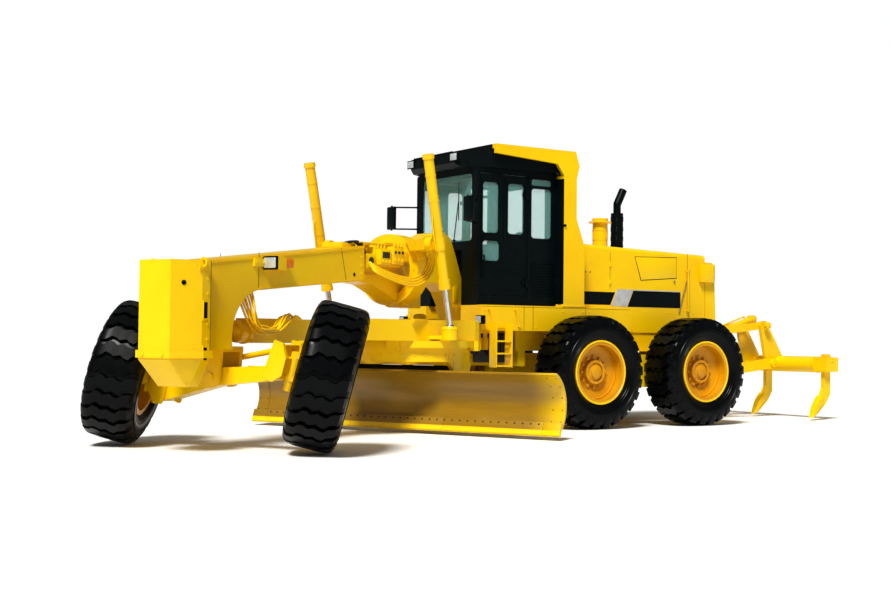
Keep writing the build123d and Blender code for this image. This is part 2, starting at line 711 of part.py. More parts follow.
def lifter():
    """An arm each side of the ring, tapering out to the lift cylinder's trunnion boss."""
    x, z = TRUNNION
    with BuildPart() as piece:
        for way in (1, -1):
            slab(level(z - 70), [(RING_X - 140, way * 200), (RING_X + 140, way * 200), (x + 70, way * 780),
                                 (x + 70, way * ARM_OUT), (x - 70, way * ARM_OUT), (RING_X - 140, way * 580)],
                 140)
            bar((x, way * (ARM_OUT - 90), z), (x, way * ARM_OUT, z), 95)
            bar((x, way * (ARM_OUT - 91), z), (x, way * (ARM_OUT + 1), z), 35 + RUN, Mode.SUBTRACT)
        bar((1700, 0, RING_Z), (2600, 0, RING_Z), RING_OUT_R, Mode.SUBTRACT)
    save(piece, "lifter_arms", FRONT)


def head_lamps():
    with BuildPart() as piece:
        for way in (1, -1):
            block((4850, 4960), (way * BEAM_HALF, way * 490), (2000, 2160))
            block((4700, 4760), (way * BEAM_HALF, way * 400), (2000, 2150))
    save(piece, "head_lamps", FRONT)


# ---------------------------------------------------------------- front axle
def front_axle():
    """Gull-wing axle beam on its centre pin, with an eye each end for the lean pin."""
    with BuildPart() as piece:
        with BuildSketch(across(-125)) as wing:
            top, low = LEAN_EYE_R - AXLE_DROP, -LEAN_EYE_R - AXLE_DROP
            Polygon((0, 100), (LEAN_PIN_Y, top), (LEAN_PIN_Y, low), (0, -100), (-LEAN_PIN_Y, low),
                    (-LEAN_PIN_Y, top), align=None)
            with Locations((LEAN_PIN_Y, -AXLE_DROP), (-LEAN_PIN_Y, -AXLE_DROP)):
                Circle(LEAN_EYE_R)
            Circle(50 + RUN, mode=Mode.SUBTRACT)
            with Locations((LEAN_PIN_Y, -AXLE_DROP), (-LEAN_PIN_Y, -AXLE_DROP)):
                Circle(45 + RUN, mode=Mode.SUBTRACT)
        extrude(wing.sketch, amount=250)
    save(piece, "front_axle", AXLE)


def lean_yoke(way):
    """Bracket that leans about its pin and holds the kingpin upright beside it."""
    pin, boss = way * KINGPIN_OUT, KINGPIN_BOSS_R
    with BuildPart() as piece:
        for x in (125 + GAP, -125 - GAP - 40):
            slab(across(x), [(-way * 80, -85), (way * 40, -85), (pin, 20), (pin, 212), (way * 60, 350),
                             (-way * 60, 350), (-way * 95, 0)], 40)
        block((-173, 173), (way * 90, pin), (28, 212))
        block((-173, 173), (way * 20, way * 60), (110, 330))
        block((-60, 60), (way * 40, way * 95), (120, 205))
        bar((0, pin, 20), (0, pin, 220), boss)
        bar((-173, 0, 0), (173, 0, 0), 45)
        bar((0, pin, 10), (0, pin, 230), boss - 28 + RUN, Mode.SUBTRACT)
        bar((-300, 0, 310), (-173, 0, 310), 26)
    return piece


def knuckle(way):
    """Steering knuckle: fork about the kingpin, wheel spindle and a steering arm to the rear."""
    with BuildPart() as piece:
        bar((0, 0, -40), (0, 0, 280), KINGPIN_BOSS_R - 28)
        for low, high in ((-35, 20 - RUN), (220 + RUN, 275)):
            bar((0, 0, low), (0, 0, high), KINGPIN_BOSS_R)
            block((-60, 60), (0, way * 140), (low, high))
        block((-80, 80), (way * 95, way * 140), (-35, 275))
        bar((0, way * 100, SPINDLE_RISE), (0, way * (SPINDLE_OUT + SPINDLE_END - RUN), SPINDLE_RISE),
            SPINDLE_R)
        bar((0, 0, -150), (0, 0, -30), 50)
        slab(level(-150), [(20, way * 45), (20, -way * 45), (-280, -way * 60), (-280, 0)], 36)
        bar((-280, -way * 30, -150), (-280, -way * 30, -114), 45)
    return piece


def front_running_gear():
    front_axle()
    for way, place in ((1, "left"), (-1, "right")):
        save(lean_yoke(way), f"lean_yoke_{place}", yoke_stance(way))
        save(knuckle(way), f"knuckle_{place}", knuckle_stance(way))

    left, right = [stance_point(yoke_stance(way), (-240, 0, 310)) for way in (1, -1)]
    with BuildPart() as piece:
        bar(left, right, 32)
        for end, way in ((left, 1), (right, -1)):
            head = stance_point(yoke_stance(way), (-285, 0, 310))
            tail = stance_point(yoke_stance(way), (-195, 0, 310))
            bar(head, tail, 52)
            bar(head, tail, 26 + RUN, Mode.SUBTRACT)
    save(piece, "lean_bar", Location())


def stance_point(stance, point):
    """Where a point of a sub-assembly stands in the machine."""
    return tuple((stance * Location(point)).position)


# ---------------------------------------------------------------- drawbar, circle and blade
def drawbar():
    """V-shaped drawbar from its ball to the two rear corners that hang on the lift cylinders."""
    with BuildPart() as piece:
        slab(level(1180), [(4960, 120), (4960, -120), (3300, -190), (3000, -330), (3000, 330),
                           (3300, 190)], 280)
        slab(level(BAR_BOTTOM), [(3100, 390), (3100, -390), (1250, -870), (1150, -870), (1150, 870),
                                 (1250, 870)], BAR_TOP - BAR_BOTTOM)
        slab(level(BAR_BOTTOM - 1), [(2650, 300), (2650, -300), (1400, -640), (1400, 640)], 300,
             mode=Mode.SUBTRACT)
        bar((4950, 0, BALL_Z), (BALL_X + 10, 0, BALL_Z), 125)
        with Locations((BALL_X, 0, BALL_Z)):
            Sphere(BALL_R + RUN, mode=Mode.SUBTRACT)
        x, z = LIFT_EYE
        for way in (1, -1):
            block((x - 70, x + 70), (way * 600, way * LIFT_Y), (1240, 1290))
            bar((x, way * LIFT_Y, 1230), (x, way * LIFT_Y, z - 10), 105)
            with Locations((x, way * LIFT_Y, z)):
                Sphere(82, mode=Mode.SUBTRACT)
        for angle in (23, -23, 112, -112):
            with BuildSketch(level(BAR_BOTTOM - CIRCLE_THICK - 40)) as shoe:
                with PolarLocations_at(CIRCLE_X, angle, CIRCLE_R + RUN + 30):
                    Rectangle(60, 160)
            extrude(shoe.sketch, amount=CIRCLE_THICK + 41)
            with BuildSketch(level(BAR_BOTTOM - CIRCLE_THICK - 40)) as lip:
                with PolarLocations_at(CIRCLE_X, angle, CIRCLE_R - 20):
                    Rectangle(80, 160)
            extrude(lip.sketch, amount=40 - 2 * RUN)
    save(piece, "drawbar", FRONT)


def PolarLocations_at(x, angle, radius):
    """One place on a circle about (x, 0), turned to face out from it."""
    a = radians(angle)
    return Locations(Location((x + radius * cos(a), radius * sin(a), 0), (0, 0, angle)))


def circle():
    """Toothed ring's flange and drum, the yoke box and the two arms that carry the blade."""
    top = BAR_BOTTOM - RUN
    low = top - CIRCLE_THICK + RUN
    with BuildPart() as piece:
        with Locations((CIRCLE_X, 0, (low + top) / 2)):
            Cylinder(CIRCLE_R, top - low)
        with Locations((CIRCLE_X, 0, (DRUM_LOW + low) / 2)):
            Cylinder(DRUM_R, low - DRUM_LOW + 2)
        with Locations((CIRCLE_X, 0, (DRUM_LOW + top) / 2)):
            Cylinder(CIRCLE_IN_R, top - DRUM_LOW + 20, mode=Mode.SUBTRACT)
        block((1380, 1800), (-ARM_Y - 20, ARM_Y + 20), (900, low + 1))
        for way in (1, -1):
            with BuildSketch(side(way * (ARM_Y + ARM_THICK / 2))) as arm:
                with BuildLine():
                    Polyline((TIP_X + 60, TIP_Z), (TIP_X + 15, 700), (1860, 960), (1830, 1080),
                             (1830, low + 1), (1370, low + 1), (1370, 1080), (1290, 900), (TIP_X - 60, TIP_Z))
                    ThreePointArc((TIP_X - 60, TIP_Z), (TIP_X, TIP_Z - 60), (TIP_X + 60, TIP_Z))
                make_face()
                with Locations((TIP_X, TIP_Z)):
                    Circle(40 + RUN, mode=Mode.SUBTRACT)
            extrude(arm.sketch, amount=way * ARM_THICK)
    save(piece, "circle", FRONT)


# columns: rail's rear x, low z, high z
BLADE_RAILS = [(1628, 280, 310), (1628, 590, 620)]


def blade_back(z, depth=0.0):
    """x of the mouldboard's back face at height z, or depth further forward."""
    return BLADE_CX - sqrt((BLADE_R + BLADE_THICK - depth) ** 2 - (z - BLADE_CZ) ** 2)


def blade_carrier():
    """Tip frame: two slide brackets on the arms' pins, joined by a tube."""
    inner = ARM_Y - ARM_THICK / 2 - RUN
    front = blade_back(BLADE_CZ) - GAP
    with BuildPart() as piece:
        for way in (1, -1):
            with BuildSketch(side(way * inner)) as bracket:
                Polygon((TIP_X - 60, TIP_Z - 80), (front, TIP_Z - 90), (front, 665), (1590, 665),
                        (TIP_X - 60, 520), align=None)
                for rear, low, high in BLADE_RAILS:
                    Polygon((rear - RUN, low - RUN), (1700, low - RUN), (1700, high + RUN),
                            (rear - RUN, high + RUN), align=None, mode=Mode.SUBTRACT)
            extrude(bracket.sketch, amount=way * 70)
            cross_pin(TIP_X, TIP_Z, way * (inner - 60), way * (ARM_Y + ARM_THICK / 2), 40)
        cross_pin(1570, 480, -inner + 20, inner - 20, 45)
    save(piece, "blade_carrier", FRONT)


def moldboard():
    """Curved blade with its slide rails, bolt-on cutting edge and end bits."""
    half = BLADE_LENGTH / 2
    sweep = BLADE_LOW_ANGLE - BLADE_TOP_ANGLE
    centre = (BLADE_CX, BLADE_CZ)
    with BuildPart() as piece:
        with BuildSketch(side(0)) as shell:
            with BuildLine():
                face = CenterArc(centre, BLADE_R, BLADE_TOP_ANGLE, sweep)
                back = CenterArc(centre, BLADE_R + BLADE_THICK, BLADE_TOP_ANGLE, sweep)
                Line(face @ 0, back @ 0)
                Line(face @ 1, back @ 1)
            make_face()
        extrude(shell.sketch, amount=half, both=True)
        slab(side(0), [(1767, 217), (1789, 226), (1850, 60), (1846, EDGE_Z), (1826, EDGE_Z)], half,
             both=True)
        for rear, low, high in BLADE_RAILS:
            reach = blade_back((low + high) / 2, BLADE_THICK / 2)
            block((rear, reach), (-RAIL_HALF, RAIL_HALF), (low, high))
    save(piece, "moldboard", FRONT)


def lift_cylinders():
    """Barrel on its trunnion and rod with a ball end, leaning forward each side of the ring."""
    (ex, ez), (tx, tz) = LIFT_EYE, TRUNNION
    run = Vector(tx - ex, 0, tz - ez).normalized()
    for way, place in ((1, "left"), (-1, "right")):
        eye = Vector(ex, way * LIFT_Y, ez)
        at = lambda s: tuple(eye + run * s)
        with BuildPart() as piece:
            bar(at(BARREL_FROM), at(BARREL_TO), BARREL_R)
            bar(at(BARREL_FROM - 40), at(BARREL_FROM + 60), BARREL_R + 10)
            bar(at(BARREL_TO - 60), at(BARREL_TO), BARREL_R + 8)
            bar(at(1030), at(1180), BARREL_R + 12)
            cross_pin(tx, tz, way * 791, way * LIFT_Y, 35)
            bar(at(BARREL_FROM - 50), at(BARREL_TO - 120), ROD_R + RUN, Mode.SUBTRACT)
        save(piece, f"lift_barrel_{place}", FRONT)
        with BuildPart() as piece:
            bar(at(0), at(1500), ROD_R)
            with Locations(tuple(eye)):
                Sphere(66)
        save(piece, f"lift_rod_{place}", FRONT)


# ---------------------------------------------------------------- ripper
def along(pivot, length=LINK):
    """Far end of a ripper link that starts at a pivot."""
    a = radians(LINK_ANGLE)
    return (pivot[0] - length * cos(a), pivot[1] + length * sin(a))


def ripper():
    with BuildPart() as piece:
        for way in (1, -1):
            link_plate(ARM_PIVOT, along(ARM_PIVOT), 85, way * 352, 58, 40 + RUN)
        middle = along(ARM_PIVOT, LINK * 0.45)
        cross_pin(*middle, -300, 300, 50)
    save(piece, "ripper_arms", REAR)
    with BuildPart() as piece:
        for way in (1, -1):
            link_plate(TOP_PIVOT, along(TOP_PIVOT), 60, way * 222, 50, 30 + RUN)
    save(piece, "ripper_links", REAR)

    low, top, (bx, bz) = along(ARM_PIVOT), along(TOP_PIVOT), SHANK_BEAM
    with BuildPart() as piece:
        for way in (1, -1):
            slab(side(way * 286), [(low[0] + 90, low[1] - 90), (low[0] + 90, low[1] + 60),
                                   (top[0] + 75, top[1]), (top[0] + 40, top[1] + 75),
                                   (top[0] - 60, top[1] + 75), (bx - 60, bz + 110), (bx, bz - 120)],
                 way * 60)
        cross_pin(*low, -350, 350, 40)
        cross_pin(*top, -286, 286, 30)
        cross_pin(bx, bz, -SHANK_BEAM_HALF, SHANK_BEAM_HALF, SHANK_BEAM_R)
        for y in (0, SHANK_Y, -SHANK_Y):
            block((bx - 150, bx + 130), (y - 135, y + 135), (bz - 110, bz + 120))
            slab(side(y + 35), [(bx - 80, 1060), (bx + 60, 1060), (bx + 60, 520), (bx + 160, 330),
                                (bx + 320, 70), (bx + 250, 80), (bx + 30, 260), (bx - 80, 420)], 70)
    save(piece, "ripper_beam", REAR)


wheels()
rear_frame()
rear_axle()
side_decks()
engine()
hood()
rear_grille()
stacks()
cab()
canopy()
cab_inside()
ladders()
mirrors()
nose()
front_beam()
ring_frame()
valve_block()
lifter()
head_lamps()
front_running_gear()
drawbar()
circle()
blade_carrier()
moldboard()
lift_cylinders()
ripper()
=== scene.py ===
"""Motor grader: finishes, small parts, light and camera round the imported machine."""

import bpy
import bmesh
import json
from math import cos, radians, sin, tau
from mathutils import Matrix, Vector


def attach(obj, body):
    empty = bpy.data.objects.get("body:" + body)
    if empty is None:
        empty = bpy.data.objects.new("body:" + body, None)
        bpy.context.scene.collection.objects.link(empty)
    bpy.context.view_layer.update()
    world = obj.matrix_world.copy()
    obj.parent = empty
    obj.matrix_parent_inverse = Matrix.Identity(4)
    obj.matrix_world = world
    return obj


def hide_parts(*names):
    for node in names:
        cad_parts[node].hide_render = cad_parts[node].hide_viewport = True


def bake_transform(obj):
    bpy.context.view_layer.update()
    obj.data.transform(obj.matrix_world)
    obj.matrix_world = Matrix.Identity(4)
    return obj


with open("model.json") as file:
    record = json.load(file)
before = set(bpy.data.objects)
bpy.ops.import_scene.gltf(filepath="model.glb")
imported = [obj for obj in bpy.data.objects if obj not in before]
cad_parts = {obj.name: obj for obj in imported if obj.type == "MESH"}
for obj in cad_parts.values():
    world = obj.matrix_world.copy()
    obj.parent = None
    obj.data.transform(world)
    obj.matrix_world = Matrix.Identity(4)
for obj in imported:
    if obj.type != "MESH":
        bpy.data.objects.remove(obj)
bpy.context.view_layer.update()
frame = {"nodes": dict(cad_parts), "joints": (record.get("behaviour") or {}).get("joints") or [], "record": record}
NODES = frame["nodes"]
JOINTS = {joint["name"]: joint for joint in frame["joints"]}

AHEAD, LEFT, UP = Vector((1, 0, 0)), Vector((0, 1, 0)), Vector((0, 0, 1))
MIDDLE = Vector((0, 0, 0))
THIN = 0.0005  # radius of a turned part's inner edge that is to look closed
SIDES = (("left", 1), ("right", -1))
# hinge between the frames, on the floor plane, and the front frame's turn about it at rest
HINGE = (0.054, -1.288, 0)
STEER = radians(25)
CAMERA_AT = (11.128, 14.952, 1.254)
CAMERA_AIM = (-0.54968, -0.83481, 0.03075)
CAMERA_ROLL = radians(0.588)
CAMERA_LENS = 54.98


def linked(name, data):
    """A new object in the scene."""
    made = bpy.data.objects.new(name, data)
    bpy.context.scene.collection.objects.link(made)
    return made


# ---------------------------------------------------------------- camera
def set_camera():
    """Low three-quarter view from ahead of the machine's left side."""
    forward = Vector(CAMERA_AIM).normalized()
    level = forward.cross(UP).normalized()
    up = level.cross(forward)
    right = level * cos(CAMERA_ROLL) + up * sin(CAMERA_ROLL)
    top = up * cos(CAMERA_ROLL) - level * sin(CAMERA_ROLL)
    data = bpy.data.cameras.new("view")
    data.sensor_width = 36
    data.lens = CAMERA_LENS
    camera = linked("view", data)
    turn = Matrix((right, top, -forward)).transposed().to_4x4()
    camera.matrix_world = Matrix.Translation(CAMERA_AT) @ turn
    bpy.context.scene.camera = camera


set_camera()


# ---------------------------------------------------------------- finishes
class Flow:
    """A value that runs through a finish; arithmetic on it adds Math nodes."""

    def __init__(self, finish, socket):
        self.finish, self.socket = finish, socket

    def step(self, operation, *values):
        return self.finish.add("ShaderNodeMath", {"operation": operation}, *values)

    def __add__(self, other):
        return self.step("ADD", self, other)

    def __sub__(self, other):
        return self.step("SUBTRACT", self, other)

    def __mul__(self, other):
        return self.step("MULTIPLY", self, other)

    def __rsub__(self, other):
        return self.step("SUBTRACT", other, self)

    __radd__, __rmul__ = __add__, __mul__

    def above(self, low, high):
        """0 at low and 1 at high, smoothly between."""
        return self.finish.add("ShaderNodeMapRange", {"interpolation_type": "SMOOTHSTEP"},
                               self, low, high, 0.0, 1.0)


class Finish:
    """One procedural material."""

    def __init__(self, name):
        self.made = bpy.data.materials.new(name)
        self.made.use_nodes = True
        self.tree = self.made.node_tree
        self.shader = self.tree.nodes["Principled BSDF"]

    def feed(self, socket, value):
        if isinstance(value, Flow):
            self.tree.links.new(value.socket, socket)
        elif value is not None:
            if hasattr(socket.default_value, "__len__") and hasattr(value, "__len__"):
                value = tuple(value) + (1.0,) * (len(socket.default_value) - len(value))
            socket.default_value = value

    def add(self, kind, settings=None, *values, out=0, **named):
        node = self.tree.nodes.new(kind)
        for key, value in (settings or {}).items():
            setattr(node, key, value)
        for socket, value in zip(node.inputs, values):
            self.feed(socket, value)
        for key, value in named.items():
            self.feed(node.inputs[key.replace("_", " ")], value)
        return Flow(self, node.outputs[out])

    def place(self):
        """Position on the machine, in metres."""
        return self.add("ShaderNodeTexCoord", out="Object")

    def noise(self, scale, detail=3.0, rough=0.55, at=None):
        return self.add("ShaderNodeTexNoise", None, Vector=at or self.place(), Scale=scale, Detail=detail,
                        Roughness=rough)

    def height(self):
        return self.add("ShaderNodeSeparateXYZ", None, self.place(), out="Z")

    def mix(self, amount, one, other):
        node = self.tree.nodes.new("ShaderNodeMix")
        node.data_type = "RGBA"
        self.feed(node.inputs[0], amount)
        self.feed(node.inputs[6], one)
        self.feed(node.inputs[7], other)
        return Flow(self, node.outputs[2])

    def bump(self, height, strength=0.3, distance=0.002):
        return self.add("ShaderNodeBump", None, Strength=strength, Distance=distance, Height=height)

    def surface(self, **values):
        for key, value in values.items():
            self.feed(self.shader.inputs[key.replace("_", " ")], value)
        return self.made


EARTH = (0.16, 0.11, 0.06)


def paint(name, colour, deep, rough=0.28, dust=0.22, coat=0.12, gloss=0.28):
    """Sprayed paint: slight shade changes, orange peel and grime low down."""
    f = Finish(name)
    cloud = f.noise(1.3, 4.0)
    fine = f.noise(240.0, 2.0)
    low = 1 - f.height().above(0.1, 1.5)
    grime = f.noise(6.0, 6.0, 0.7).above(0.52, 0.8) * (low * dust + 0.06)
    tint = f.mix(cloud.above(0.3, 0.75), colour, deep)
    base = f.mix(grime, tint, EARTH)
    return f.surface(Base_Color=base, Roughness=rough + grime * 0.4 + cloud * 0.06, Coat_Weight=coat,
                     Coat_Roughness=0.08, Specular_IOR_Level=gloss, Normal=f.bump(fine, 0.08, 0.001))


YELLOW = paint("machine_yellow", (0.93, 0.63, 0.001), (0.90, 0.56, 0.001))
# rims: a darker, more orange copy of the yellow, painted shade of the wheels' deep dish
RIM_SHADED_YELLOW = paint("rim_yellow", (0.68, 0.34, 0.002), (0.56, 0.25, 0.003), rough=0.36)
BLACK = paint("black_paint", (0.0012, 0.0045, 0.005), (0.002, 0.006, 0.007), rough=0.34, dust=0.0,
              coat=0.0, gloss=0.10)


def blade_paint():
    """Yellow at the ends and edge; the hollow face is an olive brown in long streaks, part wear and part painted
    shade of the hollow.
    """
    f = Finish("blade_paint")
    turned = f.add("ShaderNodeVectorRotate", {"rotation_type": "Z_AXIS"}, Vector=f.place(), Center=HINGE,
                   Angle=-STEER)
    along = f.add("ShaderNodeSeparateXYZ", None, turned, out="Y") - HINGE[1]
    streak = f.noise(1.6, 7.0, 0.65, at=f.add("ShaderNodeMapping", None, turned, Scale=(6, 0.7, 9)))
    middle = 1 - (along + streak * 0.05).above(1.95, 2.5) * 0.75
    # the face above the edge, away from the ends, gets the brown: part wear, part painted shade
    face = middle * f.height().above(0.120, 0.136)
    wear_and_shade_brown = f.mix(streak.above(0.15, 0.9), (0.29, 0.158, 0.007), (0.20, 0.105, 0.006))
    base = f.mix(face * 0.93, f.mix(streak.above(0.35, 0.8), (0.93, 0.64, 0.001), (0.88, 0.55, 0.002)), wear_and_shade_brown)
    return f.surface(Base_Color=base, Roughness=0.26 + streak * 0.22, Coat_Weight=0.25, Coat_Roughness=0.12,
                     Normal=f.bump(f.noise(260.0, 2.0), 0.05, 0.001))


BLADE = blade_paint()


def plain(name, colour, rough, metal=0.0):
    f = Finish(name)
    cloud = f.noise(9.0, 4.0)
    fine = f.noise(400.0, 2.0)
    shade = f.mix(cloud.above(0.3, 0.8), colour, tuple(c * 0.75 for c in colour))
    return f.surface(Base_Color=shade, Roughness=rough + cloud * 0.12, Metallic=metal,
                     Normal=f.bump(fine, 0.1, 0.0008))


def tyre_rubber():
    f = Finish("tyre_rubber")
    dusty = f.noise(3.0, 6.0, 0.65).above(0.45, 0.85)
    grain = f.noise(180.0, 3.0)
    base = f.mix(dusty * 0.4, (0.001, 0.0018, 0.0022), (0.006, 0.006, 0.006))
    return f.surface(Base_Color=base, Roughness=0.28 + dusty * 0.2, Specular_IOR_Level=0.14,
                     Normal=f.bump(grain, 0.15, 0.002))


RUBBER = tyre_rubber()
HOSE = plain("hose_rubber", (0.01, 0.01, 0.012), 0.42)
CHROME = plain("chromed_rod", (0.72, 0.73, 0.75), 0.12, 1.0)
STEEL = plain("bare_steel", (0.36, 0.34, 0.32), 0.35, 0.9)
IRON = plain("engine_iron", (0.06, 0.06, 0.06), 0.6, 0.6)
FABRIC = plain("seat_fabric", (0.02, 0.021, 0.024), 0.85)
GREY = plain("grey_plastic", (0.05, 0.052, 0.055), 0.5)


def tinted_glass():
    f = Finish("tinted_glass")
    streak = f.noise(2.0, 3.0).above(0.3, 0.8)
    return f.surface(Base_Color=f.mix(streak, (0.42, 0.86, 0.80), (0.38, 0.80, 0.74)),
                     Roughness=0.03 + streak * 0.02, Alpha=0.2, IOR=1.5)


GLASS = tinted_glass()
LENS = plain("lamp_glass", (0.75, 0.80, 0.82), 0.10, 0.35)
AMBER = plain("amber_lens", (0.95, 0.24, 0.002), 0.2)
RED = plain("red_lens", (0.45, 0.008, 0.006), 0.16)
SILVER = plain("silver_band", (0.62, 0.64, 0.66), 0.32, 0.3)

# ---------------------------------------------------------------- finishes on the CAD nodes
BY_SLOT = {"yellow_paint": YELLOW, "rim_yellow": RIM_SHADED_YELLOW, "black_paint": BLACK, "blade_steel": BLADE,
           "tyre": RUBBER, "tinted_glass": GLASS, "lamp_housing": YELLOW, "seat_fabric": FABRIC,
           "engine_iron": IRON, "chromed_rod": CHROME}
for subpart in frame["record"]["subparts"]:
    mesh = NODES[subpart["node"]].data
    mesh.materials.clear()
    mesh.materials.append(BY_SLOT[subpart["material_slot"]])


# slot of a piece that names none
USUAL_SLOT = {YELLOW: "yellow_paint", BLACK: "black_paint"}

# ---------------------------------------------------------------- making pieces
REAR = Matrix.Translation(HINGE)
FRONT = REAR @ Matrix.Rotation(STEER, 4, "Z")


def span(way, low, high):
    """A range along Y, from low to high on the side of way."""
    return tuple(sorted((way * low, way * high)))


def edges_of(verts):
    """Every edge of the vertices once, in a fixed order."""
    return list(dict.fromkeys(edge for vert in verts for edge in vert.link_edges))


def turns(count):
    """Even angles once round."""
    return [k * tau / count for k in range(count)]


class Form:
    """A mesh in the making, in one sub-assembly's own frame: X forward, Y left, Z up, in metres."""

    def __init__(self, stance=REAR):
        self.mesh = bmesh.new()
        self.stance = stance
        self.known = 0  # verts made by cushions so far

    def soften(self, verts, width):
        if width:
            bmesh.ops.bevel(self.mesh, geom=edges_of(verts), offset=width, segments=2, profile=0.6,
                            affect="EDGES", clamp_overlap=True)

    def box(self, x, y, z, soft=0.004):
        middle = Vector([(low + high) / 2 for low, high in (x, y, z)])
        size = [abs(high - low) for low, high in (x, y, z)]
        place = Matrix.Translation(middle) @ Matrix.Diagonal((*size, 1))
        self.soften(bmesh.ops.create_cube(self.mesh, size=1, matrix=place)["verts"], soft)

    def prism(self, outline, low, high, soft=0.0):
        """An outline of (x, z) points, thick from low to high along Y."""
        near = [self.mesh.verts.new((x, low, z)) for x, z in outline]
        far = [self.mesh.verts.new((x, high, z)) for x, z in outline]
        self.mesh.faces.new(near)
        self.mesh.faces.new(far[::-1])
        for k in range(len(outline)):
            self.mesh.faces.new((near[k], near[k - 1], far[k - 1], far[k]))
        self.soften(near + far, soft)

    def rod(self, start, end, radius, tip=None, sides=20, soft=0.0):
        start, end = Vector(start), Vector(end)
        run = end - start
        place = Matrix.Translation((start + end) / 2) @ run.to_track_quat("Z", "Y").to_matrix().to_4x4()
        verts = bmesh.ops.create_cone(self.mesh, cap_ends=True, segments=sides, radius1=radius,
                                      radius2=radius if tip is None else tip, depth=run.length,
                                      matrix=place)["verts"]
        if soft:
            rims = [edge for edge in edges_of(verts) if any(len(face.verts) > 4 for face in edge.link_faces)]
            bmesh.ops.bevel(self.mesh, geom=rims, offset=soft, segments=2, profile=0.6, affect="EDGES")

    def lathe(self, centre, axis, profile, sides=40):
        """A closed (radius, height) profile turned about an axis through a centre."""
        turn = Vector(axis).to_track_quat("Z", "Y").to_matrix().to_4x4()
        place = Matrix.Translation(centre) @ turn
        rings = []
        for radius, height in profile:
            rings.append([self.mesh.verts.new(place @ Vector((radius * cos(k * tau / sides),
                                                              radius * sin(k * tau / sides), height)))
                          for k in range(sides)])
        for one, other in zip(rings, rings[1:] + rings[:1]):
            for k in range(sides):
                self.mesh.faces.new((one[k - 1], one[k], other[k], other[k - 1]))

    def ring(self, centre, axis, inner, outer, half, sides=32):
        """A collar of square section, half its width to each side of the centre."""
        self.lathe(centre, axis, [(inner, -half), (outer, -half), (outer, half), (inner, half)], sides)

    def nuts(self, places, axis, size=0.014, high=0.012):
        for place in places:
            tip = Vector(place) + Vector(axis).normalized() * high
            self.rod(place, tip, size, sides=6)

    def done(self, name, finish, body, slot=None, replaces=(), angle=32):
        slot = slot or USUAL_SLOT[finish]
        bmesh.ops.recalc_face_normals(self.mesh, faces=self.mesh.faces)
        self.mesh.transform(self.stance)
        mesh = bpy.data.meshes.new(name)
        self.mesh.to_mesh(mesh)
        self.mesh.free()
        mesh.shade_smooth()
        mesh.set_sharp_from_angle(angle=radians(angle))
        mesh.materials.append(finish)
        piece = linked(name, mesh)
        if replaces:
            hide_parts(*replaces)
        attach(piece, body)
        return piece


def hoses(name, routes, radius, finish, body, bend=None):
    """Hoses or pipes of the front frame, each a smooth line close to its points.

    With bend they are made one mesh fixed where it stands and tied to no body; the body and two points in bend are
    not used.
    """
    curve = bpy.data.curves.new(name, "CURVE")
    curve.dimensions = "3D"
    curve.bevel_depth = radius
    curve.bevel_resolution = 3
    curve.use_fill_caps = True
    for route in routes:
        line = curve.splines.new("NURBS")
        line.points.add(len(route) - 1)
        for point, place in zip(line.points, route):
            point.co = (*(FRONT @ Vector(place)), 1)
        line.order_u = 3
        line.use_endpoint_u = True
        line.resolution_u = 6
    curve.materials.append(finish)
    piece = linked(name, curve)
    if bend:
        shape = bpy.data.meshes.new_from_object(piece.evaluated_get(bpy.context.evaluated_depsgraph_get()))
        bpy.data.objects.remove(piece)
        piece = linked(name, shape)
        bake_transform(piece)
    else:
        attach(piece, body)
    return piece


def wheel_stance(spin, way):
    """Frame of a wheel: Y along its axle, outwards for way 1 and -1 alike."""
    joint = JOINTS[spin]
    axle = Vector(joint["axis"]).normalized()
    if axle.y < 0:
        axle = -axle
    axle = axle * way
    up = (UP - axle * axle.z).normalized()
    ahead = axle.cross(up)
    return Matrix.Translation(joint["pos_m"]) @ Matrix((ahead, axle, up)).transposed().to_4x4()


# ---------------------------------------------------------------- wheels
BEAD = 0.418
# (radius, distance from the middle) along the outside of the carcass, from the bead to the tread
CARCASS = [(BEAD, 0.221), (0.438, 0.224), (0.452, 0.240), (0.475, 0.262), (0.512, 0.284), (0.560, 0.298),
           (0.606, 0.301), (0.655, 0.296), (0.700, 0.283), (0.732, 0.262), (0.748, 0.236), (0.752, 0.19),
           (0.753, 0.0)]
# one lug: distance from the middle, shift round the tread in degrees, share of the pitch, top and base radius
LUG_LINE = [(0.0, 1.2, 0.74, 0.799, 0.745), (0.035, 2.4, 0.72, 0.799, 0.745),
            (0.080, 0.6, 0.75, 0.799, 0.745), (0.130, 0.2, 0.74, 0.799, 0.745),
            (0.175, 4.2, 0.72, 0.797, 0.745), (0.228, 5.4, 0.70, 0.790, 0.740),
            (0.258, 5.8, 0.66, 0.772, 0.728), (0.284, 6.0, 0.58, 0.724, 0.700),
            (0.297, 6.0, 0.48, 0.672, 0.662)]
LUG_COUNT = 26
# degrees by which a lug is wider at its base, and narrower at its top, than its share of the pitch
LUG_BASE, LUG_TOP = 0.4, 0.3


